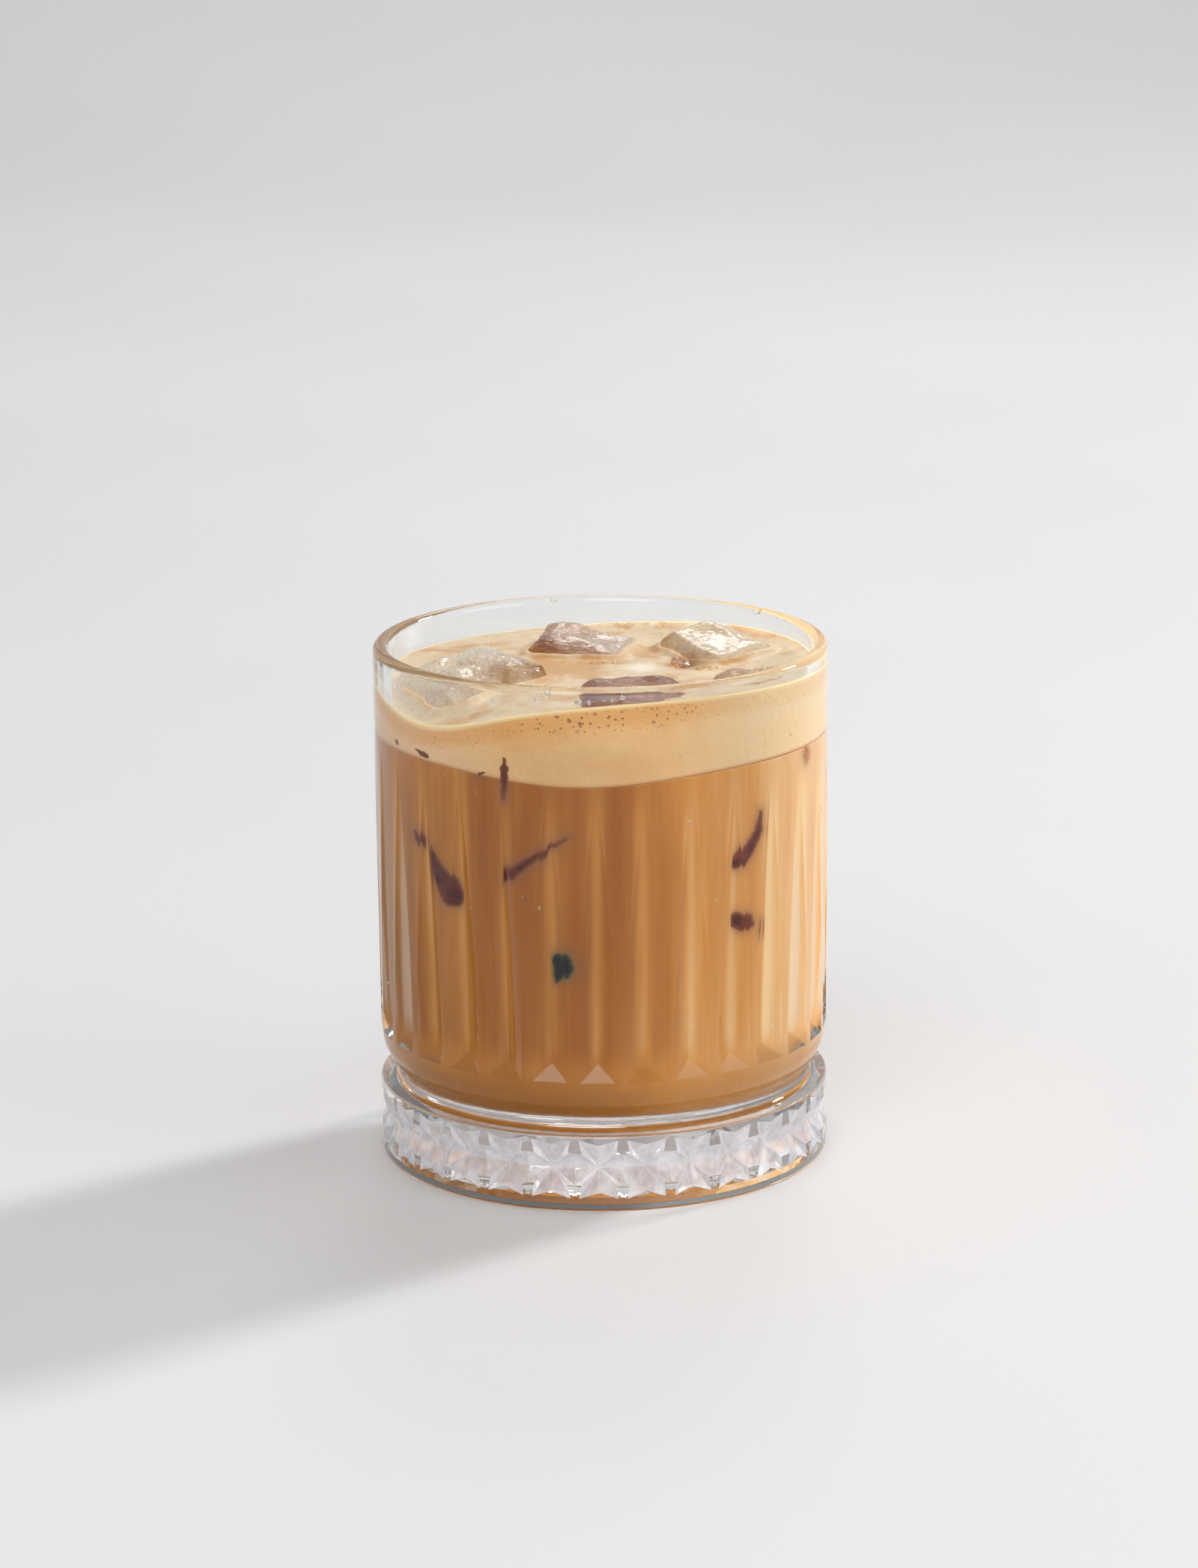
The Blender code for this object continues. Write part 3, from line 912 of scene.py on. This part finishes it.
def make_sunk_ice():
    bm = bmesh.new()
    for points, kind in STROKES:
        angles = [point[0] for point in points]
        heights = [point[1] for point in points]
        margin = PATCH_MARGIN + max(point[2] for point in points)
        turn = degrees(margin * MM / WALL_RADIUS)
        step = degrees(PATCH_STEP * MM / WALL_RADIUS)
        columns = np.arange(min(angles) - turn, max(angles) + turn, step)
        rows = np.arange(min(heights) - margin, max(heights) + margin, PATCH_STEP) * MM
        grid_angles, grid_heights = np.meshgrid(columns, rows)
        depth = nearness(grid_angles.ravel(), grid_heights.ravel(), (kind,)).reshape(grid_angles.shape)
        for across, up, layer, strength in EDGE_NOISES:
            ragged = [[noise.noise((a * across, h / MM * up, layer)) for a in columns] for h in rows]
            depth = depth + strength * np.array(ragged)
        depth = depth + LENS_GROWTH
        lift = np.clip(depth * LENS_SLOPE, -LENS_SINK, LENS_RISE) + INTO_WALL
        verts = {}
        for i, j in zip(*np.nonzero(depth > -PATCH_MARGIN)):
            height = rows[i]
            verts[i, j] = bm.verts.new(polar(columns[j], float(bore_radius(height)) + lift[i, j], height))
        for i, j in verts:
            corners = [verts.get(key) for key in ((i, j), (i, j + 1), (i + 1, j + 1), (i + 1, j))]
            if all(corners):
                bm.faces.new(corners)
    loose = [vert for vert in bm.verts if not vert.link_faces]
    bmesh.ops.delete(bm, geom=loose, context="VERTS")
    piece = keep("sunk_ice", bm, sunk_ice_finish())
    outward = sum(face.normal.dot(face.center) for face in piece.data.polygons) > 0
    modify(piece, "SOLIDIFY", thickness=LENS_THICKNESS, offset=-1 if outward else 1)
    apply_all(piece)
    mesh = piece.data
    places, angles, _ = corners_of(mesh)
    for kind in ("black", "amber"):
        store(mesh, kind, (nearness(angles, places[:, 2], (kind,)) > -2.5).astype(float))
    store(mesh, "inside", nearness(angles, places[:, 2], ("brown", "black", "amber")))
    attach(piece, "root")
    return piece


sunk_ice = make_sunk_ice()
print("sunk ice faces:", len(sunk_ice.data.polygons))

# %% [markdown]
# ## Milk coffee
#
# Milk coffee is opaque: light goes in a few millimetres and comes back warm. A plain diffuse colour stands
# in for that at little cost, with light and shade painted into it. The side near the window is painted
# paler, and so is the far left. The flutes' upright streaks of light are painted on it, one a repeat, with
# painted shade behind the lands between them. Clouds of milk break both up. Low at both sides the real glass
# is thicker and shows clear, which painted pale streaks on the coffee stand in for. Near the floor of the
# bore, painted light makes the coffee brighter and more orange.

# %% Make the coffee
SIDE_DRIFT = 0.00135  # near the outline the glass bends the streaks outwards, by this share a degree
LEVEL_RINGS = (0.3, 0.6, 0.8, 1.0)
WALL_RINGS = 130
FLOOR_TURNS = range(4, 89, 4)
COFFEE_ROOM_DETAIL = 0.2  # the foam hides these rooms, so a fifth of the ice's faces does
NEAR_FADE = 0.8  # mm over which the coffee's colour changes beside sunk ice


def coffee_finish():
    finish = Finish("milk_coffee")
    x, y, z = finish.parts()
    angle = finish.angle_round(x, y)
    clouds = finish.noise(0.012, 3, scale=(1, 1, 0.3))
    threads = finish.noise(0.0013, 3, 0.6, scale=(1, 1, 0.05))
    # Painted light: paler towards the window lamp on the right and on the far left.
    painted_window_light = angle.between(4, 30) * 0.5 + angle.between(26, 62) * 0.38 - angle.between(110, 180) * 0.88
    painted_far_light = (1 - angle.between(-64, -16)) * 0.28 + angle.between(120, 180) * 0.28
    drift = angle.math("ABSOLUTE", angle)
    seen = angle * (1 - drift * (1 - drift.between(85, 110)) * SIDE_DRIFT)
    turn = (seen - FIRST_TURN) * (2 * pi / STEP) + (clouds - 0.5) * 1.2
    valley = turn.math("COSINE", turn) * 0.5 + 0.5
    bands = finish.noise(0.0052, 3, scale=(1, 1, 0.06))
    height = z.between(0.030, 0.074)
    fluted = z.between(FLUTE_FOOT, FLUTE_END + 0.003) * (1 - z.between(0.066, FLUTE_TOP) * 0.7)
    # Painted light: an upright streak of light behind each flute's valley, and painted shade behind the
    # plain lands.
    painted_streak_light = valley.between(0.2 + height * 0.35, 1.0) * fluted
    land = (1 - valley.between(0.0, 0.3)) * fluted
    light = painted_window_light + painted_far_light + painted_streak_light * (0.14 + bands * 0.4) - land * 0.08
    light = light + (bands - 0.5) * 0.5 + (clouds - 0.5) * 0.4 + (threads - 0.5) * 0.25
    # Painted light and shade: the colour runs from dark brown to pale cream with the painted light.
    tone = finish.mix(light.between(-0.2, 0.6), colour(166, 94, 2), colour(218, 150, 66))
    tone = finish.mix(light.between(0.35, 1.25), tone, colour(242, 206, 152))
    # Painted light: near the floor of the bore the coffee is painted brighter and more orange.
    low = 1 - z.between(0.020, 0.031)
    tone = finish.mix(low * 0.6, tone, colour(234, 156, 62))
    # Painted light: pale strips near both outlines stand in for the bright room seen through the clear
    # glass.
    painted_clear_wedge = valley.between(height * 0.9, height * 0.9 + 0.4) * fluted
    painted_clear_strip = painted_clear_wedge * drift.between(56, 68) * (1 - drift.between(90, 102))
    tone = finish.mix(painted_clear_strip * 0.62, tone, colour(230, 208, 184))
    tone = finish.mix(finish.stored("near_ice") * 0.75, tone, colour(138, 92, 66))
    tone = finish.mix(finish.stored("near_black") * 0.8, tone, colour(96, 92, 62))
    shader = finish.surface({
        "Base Color": tone,
        "Roughness": 0.35 + clouds * 0.2,
        "Specular IOR Level": 0.12,
        "Normal": finish.bump(threads, 0.00005),
    })
    return finish.done(shader)


def make_coffee():
    bm = bmesh.new()
    reach = float(bore_radius(LAYER_HEIGHT)) + INTO_WALL
    rings = [ring(bm, share * reach, layer_height(ANGLES, share * reach)) for share in LEVEL_RINGS]
    top = layer_height(ANGLES, reach)
    for share in np.linspace(0, 1, WALL_RINGS)[1:]:
        heights = top + (BORE_FLOOR + BORE_CORNER - top) * share
        rings.append(ring(bm, bore_radius(heights) + INTO_WALL, heights))
    for turn in FLOOR_TURNS:
        height = BORE_FLOOR + BORE_CORNER * (1 - sin(radians(turn)))
        rings.append(ring(bm, float(bore_radius(height)) + INTO_WALL, height - INTO_WALL))
    rings.append(ring(bm, BORE_BOTTOM / 3, BORE_FLOOR - INTO_WALL))
    skin(bm, rings)
    cap(bm, rings[0], LAYER_HEIGHT)
    cap(bm, rings[-1], BORE_FLOOR - INTO_WALL)
    piece = keep("milk_coffee", bm, coffee_finish())
    cut_round_ice(piece, COFFEE_ROOM_DETAIL)
    places, angles, _ = corners_of(piece.data)
    for name, kinds in (("near_ice", ("brown", "amber")), ("near_black", ("black",))):
        outside = np.maximum(0, -nearness(angles, places[:, 2], kinds))
        store(piece.data, name, np.exp(-outside / NEAR_FADE))
    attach(piece, "root")
    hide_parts("coffee")
    return piece


coffee = make_coffee()
print("coffee faces:", len(coffee.data.polygons))

# %% [markdown]
# ## Foam
#
# The foam is a thick cream full of air. From above it is a soft sheet that climbs the ice and the wall, so
# its height is the level line plus a collar at each high cube, a dip at each low one and a few gentle
# waves. Through the wall it shows its cut side: a pale edge on top, fine dark pores below it, and a soft
# lower edge that fades into the coffee. Light is painted on its side, paler towards the window and on the
# far left. On top, painted shade darkens the dent beside the right cube, and the amber puddle of coffee also
# carries painted shadow.

# %% Make the foam
TOP_RINGS = 78
SIDE_RINGS = 36
FOAM_INTO_WALL = INTO_WALL * 1.3
FOAM_ROOM_DETAIL = 0.7
CALM_AT_WALL = 0.002  # the waves and collars die out over this width
WAVES = ((0.0060, 0.00022), (0.0014, 0.00006))  # width and height of the waves
PORE_PLACE = (2, 26)  # angle with the most pores, and how far they spread
COLLAR_REACH = 0.0011
COLLAR_RISE = 0.0008
COLLAR_SINK = 0.0006
COLLAR_SINK_REACH = 0.0032
RIBBED_PLACE = (0.0150, 0.0046, 0.0910)
RECESS_REACH = 0.0030
RECESS_DEPTH = 0.0009
CREAM_SPOT = ((0.0072, 0.0008), 0.0042)
# The amber puddle is a puddle of coffee that also carries painted shadow.
AMBER_PUDDLE_AND_SHADOW = ((-0.0045, -0.0010), 0.0065)


def foam_finish():
    finish = Finish("coffee_foam")
    x, y, _ = finish.parts()
    angle = finish.angle_round(x, y)
    clouds = finish.noise(0.008, 3)
    fine = finish.noise(0.0014, 3)
    below = finish.stored("below_edge")
    side = finish.stored("on_side")
    # Painted light: the foam's side is paler towards the window lamp and on the far left.
    painted_window_light = angle.between(8, 50) - angle.between(120, 180)
    painted_far_light = 1 - angle.between(-52, -22) + angle.between(120, 180)
    golden = finish.mix(clouds.between(0.3, 0.7), colour(226, 170, 98), colour(238, 190, 124))
    body = finish.mix(painted_far_light, golden, colour(240, 200, 156))
    body = finish.mix(painted_window_light, body, colour(240, 212, 166))
    crust = below.between(0.4, 1.2) * (1 - below.between(2.2, 5.0)) * (1 - painted_window_light * 0.6)
    body = finish.mix(crust * (0.35 + clouds * 0.5), body, colour(222, 160, 84))
    body = finish.mix(below.between(3.0, 8.0) * 0.4, body, colour(242, 210, 160))
    cream_and_puddle_shadow = finish.stored("cream_and_puddle_shadow")
    top = finish.mix(fine.between(0.25, 0.75), colour(212, 184, 144), colour(222, 200, 164))
    # Amber patches of coffee on top. The amber puddle among them is also painted shadow.
    top = finish.mix((clouds - cream_and_puddle_shadow * 0.35).between(0.45, 0.72) * 0.8, top, colour(194, 138, 70))
    top = finish.mix(cream_and_puddle_shadow.between(0.2, 1.0), top, colour(240, 228, 204))
    froth = (1 - finish.cells(0.0011).between(0.12, 0.22)) * clouds.between(0.4, 0.6)
    top = finish.mix(froth * 0.5, top, colour(176, 128, 78))
    # Painted shade: the foam darkens in the dent beside the right cube.
    top = finish.mix(finish.stored("painted_dent_shade"), top, colour(150, 92, 50))
    rim = 1 - below.between(0.15, 0.9)
    body = finish.mix(rim, body, colour(242, 216, 158))
    tone = finish.mix(side, top, body)
    band = below.between(0.6, 1.2) * (1 - below.between(2.6, 6.5)) * clouds.between(0.2, 0.42)
    small = 1 - finish.cells(0.00088).between(0.20, 0.30)
    large = 1 - finish.cells(0.0024).between(0.12, 0.17)
    holes = finish.stored("porous") * band * side * (small * fine.between(0.38, 0.5) + large)
    tone = finish.mix(holes.between(0, 1) * 0.8, tone, colour(150, 96, 46))
    above = finish.stored("above_layer")
    tone = finish.mix((1 - above.between(0.0, 0.9)) * side * 0.8, tone, colour(206, 150, 88))
    shader = finish.surface({
        "Base Color": tone,
        "Roughness": 0.3 + fine * 0.2,
        "Specular IOR Level": 0.4,
        "Normal": finish.bump(fine + holes * -1.0, 0.00014),
    })
    return finish.done(shader)


def search_tree(pieces):
    """Pieces as one search tree, to ask how near a point is to them or where a fall ends on them."""
    points, faces = [], []
    for piece in pieces:
        start = len(points)
        points += [vertex.co[:] for vertex in piece.data.vertices]
        faces += [[start + i for i in face.vertices] for face in piece.data.polygons]
    return BVHTree.FromPolygons(points, faces)


def spot_at(places, middle, reach):
    """1 at a place on the foam, and softly 0 a little more than its reach away."""
    away = np.hypot(places[:, 0] - middle[0], places[:, 1] - middle[1])
    return np.exp(-((away / reach) ** 2))


def make_foam():
    bm = bmesh.new()
    reach = BORE_TOP + INTO_WALL
    rings = []
    for share in np.linspace(0.02, 1.0, TOP_RINGS):
        heights = foam_height(ANGLES, share * reach)
        limit = bore_radius(heights) + FOAM_INTO_WALL
        rings.append(ring(bm, np.minimum(share * reach, limit), heights))
    edge = foam_height(ANGLES, reach)
    bottom = layer_height(ANGLES, reach) - INTO_WALL
    for share in np.linspace(0, 1, SIDE_RINGS)[1:]:
        heights = edge + (bottom - edge) * share
        rings.append(ring(bm, bore_radius(heights) + FOAM_INTO_WALL, heights))
    for share in (0.75, 0.35):
        rings.append(ring(bm, share * reach, layer_height(ANGLES, share * reach) - INTO_WALL))
    skin(bm, rings)
    cap(bm, rings[0], FOAM_HEIGHT)
    cap(bm, rings[-1], LAYER_HEIGHT - INTO_WALL)
    top_count = TOP_RINGS * SIDES
    high = search_tree([cube for cube in ice if cube.name not in LOW_CUBES])
    low = search_tree([cube for cube in ice if cube.name in LOW_CUBES])
    bm.verts.ensure_lookup_table()
    for vertex in bm.verts[:top_count]:
        share = min(1.0, (BORE_TOP - vertex.co.xy.length) / CALM_AT_WALL)
        away = high.find_nearest(vertex.co)[3]
        sunk_away = low.find_nearest(vertex.co)[3]
        collar = COLLAR_RISE * exp(-((away / COLLAR_REACH) ** 2))
        collar -= COLLAR_SINK * exp(-((sunk_away / COLLAR_SINK_REACH) ** 2))
        wave = sum(height * noise.noise(vertex.co / width) for width, height in WAVES)
        from_chip = (vertex.co - Vector(RIBBED_PLACE)).xy.length
        dent = RECESS_DEPTH * exp(-((from_chip / RECESS_REACH) ** 2))
        vertex.co.z += (collar + wave - dent) * max(0.0, share)
    piece = keep("coffee_foam", bm, foam_finish())
    cut_round_ice(piece, FOAM_ROOM_DETAIL)
    places, angles, radii = corners_of(piece.data)
    store(piece.data, "below_edge", (foam_height(angles, BORE_TOP) - places[:, 2]) / MM)
    store(piece.data, "above_layer", (places[:, 2] - layer_height(angles, BORE_TOP)) / MM)
    store(piece.data, "on_side", (radii > bore_radius(places[:, 2]) - 0.0003).astype(float))
    store(piece.data, "porous", 0.3 + 0.7 * bump_at(angles, *PORE_PLACE))
    store(piece.data, "painted_dent_shade", spot_at(places, RIBBED_PLACE, RECESS_REACH))
    store(piece.data, "cream_and_puddle_shadow", spot_at(places, *CREAM_SPOT) - spot_at(places, *AMBER_PUDDLE_AND_SHADOW))
    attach(piece, "root")
    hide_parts("foam")
    return piece


foam = make_foam()
print("foam faces:", len(foam.data.polygons))

# %% [markdown]
# ## Drops, bubbles and a ribbed chip
#
# Cold glass draws drops of water from the air, and pouring splashes the inside. Drops are flattened balls
# that sink a little into the wall. Bubbles stand where foam meets ice: thin clear skins, half sunk, so
# they are balls too. A small ribbed chip of ice looks out of a dark dent beside the right cube. All draws
# use one seeded generator.

# %% Make the drops and bubbles
DRAW = random.Random(7)
DROP_SINK = 0.25  # share of a drop's radius that lies in the wall
DROP_FLATNESS = 0.5
INNER_SIZES = (0.00022, 0.00075)
OUTER_SIZES = (0.00010, 0.00034)
OUTER_DROPS = 70
DAMP_WALL = (0.030, 0.090)  # heights between which the outside is damp
WIDEST = 0.985  # no drop where the glass reaches its box, which is where sine or cosine is above this
CHIP_RADIUS = 0.0020
CHIP_TILT = (0.35, -0.5, 1)
CHIP_FLATNESS = 0.42
RIB_WIDTH = 0.00016
RIB_HEIGHT = 0.00007
CHIP_LUMP = 0.0003
CHIP_LUMP_WIDTH = 0.0016
CHIP_LOOK = (colour(236, 206, 172), colour(206, 164, 122), colour(168, 122, 84), 0.04, 0.00012)
CHIP_FROST = 0.85
LIP_DROPS = ((-167, 0.0006), (131, 0.0009), (118, 0.0004), (-38, 0.0005), (24, 0.0004))
INNER_DROPS = ((-19, 94.9), (-14, 95.0), (-8, 94.6), (-3.3, 94.2), (5, 94.9), (-30, 93.6))
BUBBLE_PATCHES = (
    # middle of a patch in metres, how far it spreads, how many bubbles, largest radius
    ((0.0005, 0.0050), (0.0040, 0.0012), 46, 0.00034),
    ((0.0192, -0.0002), (0.0026, 0.0014), 40, 0.00036),
    ((0.0290, -0.0035), (0.0028, 0.0012), 14, 0.00045),
    ((-0.0098, -0.0150), (0.0014, 0.0016), 22, 0.00040),
    ((0.0078, 0.0350), (0.0052, 0.0012), 12, 0.00085),
    ((-0.0140, 0.0120), (0.0030, 0.0020), 14, 0.00030),
)


def drop_finish():
    finish = Finish("water_drop")
    shader = finish.surface({
        "Base Color": (0.99, 0.99, 0.99, 1),
        "Roughness": 0.0,
        "IOR": 1.33,
        "Transmission Weight": 1.0,
    })
    return finish.done(finish.lets_lamps_through(shader, (0.9, 0.9, 0.9, 1)))


def bubble_finish():
    """A thin skin of coffee round air: glossy, and clearer in the middle than at the edge."""
    finish = Finish("coffee_bubble")
    facing = finish.node("LayerWeight", values={"Blend": 0.35}, out="Facing")
    clear = finish.node("BsdfTransparent", values={"Color": colour(253, 248, 240)})
    film = {"Base Color": colour(226, 202, 164), "Roughness": 0.06, "Coat Weight": 1.0}
    return finish.done(finish.blend(0.12 + facing.between(0.4, 1.0) * 0.4, clear, finish.surface(film)))


def ball(bm, place, radius, outward, flatness, detail=2):
    """A ball squashed along one direction."""
    turn = Vector(outward).to_track_quat("Z", "Y").to_matrix().to_4x4()
    squash = Matrix.Diagonal((radius, radius, radius * flatness, 1))
    matrix = Matrix.Translation(place) @ turn @ squash
    bmesh.ops.create_icosphere(bm, subdivisions=detail, radius=1.0, matrix=matrix)


def make_drops():
    bm = bmesh.new()
    for angle, height in INNER_DROPS:
        for _ in range(DRAW.randint(1, 3)):
            turn = angle + DRAW.uniform(-2.4, 2.4)
            level = (height + DRAW.uniform(-0.5, 0.5)) * MM
            radius = DRAW.uniform(*INNER_SIZES)
            wall = float(bore_radius(level)) - radius * DROP_FLATNESS * (1 - DROP_SINK)
            ball(bm, polar(turn, wall, level), radius, -polar(turn, 1, 0), DROP_FLATNESS)
    for angle, radius in LIP_DROPS:
        place = polar(angle, BODY_RADIUS - LIP * 1.7, RIM_HEIGHT - LIP * 0.45)
        ball(bm, place, radius, (0, 0, 1), 0.6)
    for _ in range(OUTER_DROPS):
        angle = DRAW.uniform(0, 360)
        level = DRAW.uniform(*DAMP_WALL)
        radius = DRAW.uniform(*OUTER_SIZES)
        skin_radius = body_radius(level) - radius * 0.1
        outward = polar(angle, 1, 0)
        if max(abs(outward.x), abs(outward.y)) < WIDEST:
            ball(bm, polar(angle, skin_radius, level), radius, outward, DROP_FLATNESS, 1)
    piece = keep("water_drops", bm, drop_finish())
    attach(piece, "root")
    return piece


def make_bubbles():
    tree = search_tree([foam] + ice)
    bm = bmesh.new()
    for (x, y), (spread_x, spread_y), count, largest in BUBBLE_PATCHES:
        for _ in range(count):
            spot = Vector((x + DRAW.gauss(0, spread_x / 2), y + DRAW.gauss(0, spread_y / 2), RIM_HEIGHT))
            landing = tree.ray_cast(spot, Vector((0, 0, -1)))[0]
            radius = largest * DRAW.uniform(0.3, 1.0)
            if landing and spot.xy.length < BORE_TOP - 0.0012:
                ball(bm, landing + Vector((0, 0, radius * 0.15)), radius, (0, 0, 1), 0.85)
    piece = keep("foam_bubbles", bm, bubble_finish())
    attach(piece, "root")
    return piece


def make_ribbed_chip():
    bm = bmesh.new()
    ball(bm, RIBBED_PLACE, CHIP_RADIUS, CHIP_TILT, CHIP_FLATNESS, 5)
    for vertex in bm.verts:
        away = vertex.co - Vector(RIBBED_PLACE)
        rib = sin((away.x * 0.8 + away.y * 0.5) / RIB_WIDTH)
        lump = noise.noise(vertex.co / CHIP_LUMP_WIDTH)
        vertex.co += away.normalized() * (RIB_HEIGHT * rib + CHIP_LUMP * lump)
    piece = keep("ribbed_chip", bm, ice_finish("wet_ribbed_chip", *CHIP_LOOK))
    store(piece.data, "frosty", np.full(len(piece.data.vertices), CHIP_FROST))
    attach(piece, "root")
    return piece


drops = make_drops()
bubbles = make_bubbles()
chip = make_ribbed_chip()
print("faces of drops, bubbles and chip:", [len(piece.data.polygons) for piece in (drops, bubbles, chip)])

# %% [markdown]
# ## The studio
#
# A pale floor that sweeps up into a wall gives the plain ground. The key light stands behind on the right,
# so the glass glows on that side and its shadow falls to the front left. Wide soft lights fill the front
# and the right, one high behind lights the rim and the ice, and one lights the wall. Glass needs something
# to bend, so the sky is bright above and grey near the ground.

# %% Floor and lights
FLOOR_FRONT = -2.5
FLOOR_BACK = 1.4
SWEEP = 0.9
WALL_TOP = 3.2
FLOOR_HALF_WIDTH = 3.5
SKY = (((0.54, 0.54, 0.55, 1), 0.02), ((0.80, 0.80, 0.81, 1), 0.5))  # colours and how far up each lies
SKY_STRENGTH = 0.64
LIGHTS = (
    # name, place, what it points at, width, watts, spread in degrees
    ("window", (1.9, 1.5, 1.6), (0, 0, 0.04), 0.40, 9.0, 80),
    ("soft_right", (1.35, -0.62, 0.70), (0, 0, 0.05), 1.1, 4.8, 180),
    ("soft_front", (-0.3, -1.3, 1.40), (0, 0, 0.05), 1.3, 11.0, 180),
    ("high_back", (0.15, 1.5, 1.25), (0, 0, 0.09), 0.6, 3.5, 180),
    ("wall_wash", (0, 1.0, 2.4), (0, 2.3, 0.8), 0.9, 4.0, 100),
)


def floor_finish():
    finish = Finish("studio_paper")
    grain = finish.noise(0.35, 2)
    tone = finish.mix(grain.between(0.3, 0.7), (0.70, 0.70, 0.70, 1), (0.725, 0.725, 0.725, 1))
    return finish.done(finish.surface({"Base Color": tone, "Roughness": 0.7}))


def make_floor():
    outline = [(FLOOR_FRONT, 0.0), (-0.5, 0.0), (0.5, 0.0)]
    for turn in quarter(16):
        outline.append((FLOOR_BACK + SWEEP * sin(turn), SWEEP * (1 - cos(turn))))
    outline.append((FLOOR_BACK + SWEEP, WALL_TOP))
    bm = bmesh.new()
    rows = [[bm.verts.new((x, y, z)) for x in (-FLOOR_HALF_WIDTH, FLOOR_HALF_WIDTH)] for y, z in outline]
    for (a, b), (c, d) in zip(rows, rows[1:]):
        bm.faces.new((a, b, d, c))
    floor = keep("studio_floor", bm, floor_finish())
    return floor


def area_light(name, place, target, size, power, spread):
    lamp = bpy.data.lights.new(name, "AREA")
    lamp.spread = radians(spread)
    lamp.shape = "DISK"
    lamp.size = size
    lamp.energy = power
    light = placed(name, lamp)
    light.location = place
    light.rotation_euler = (Vector(target) - Vector(place)).to_track_quat("-Z", "Y").to_euler()


def make_sky():
    world = bpy.data.worlds.new("studio_sky")
    world.use_nodes = True
    tree = world.node_tree
    backdrop = tree.nodes["Background"]
    direction = tree.nodes.new("ShaderNodeTexCoord")
    parts = tree.nodes.new("ShaderNodeSeparateXYZ")
    ramp = tree.nodes.new("ShaderNodeValToRGB")
    tree.links.new(direction.outputs["Generated"], parts.inputs[0])
    tree.links.new(parts.outputs["Z"], ramp.inputs[0])
    tree.links.new(ramp.outputs[0], backdrop.inputs["Color"])
    for stop, (tone, rise) in zip(ramp.color_ramp.elements, SKY):
        stop.color = tone
        stop.position = rise
    backdrop.inputs["Strength"].default_value = SKY_STRENGTH
    bpy.context.scene.world = world


make_floor()
make_sky()
for light in LIGHTS:
    area_light(*light)
bpy.context.scene.view_settings.view_transform = "Standard"
light_paths = bpy.context.scene.cycles
light_paths.use_denoising = True
light_paths.max_bounces = 16
light_paths.transmission_bounces = 16
light_paths.transparent_max_bounces = 24
print("lights:", [light[0] for light in LIGHTS])
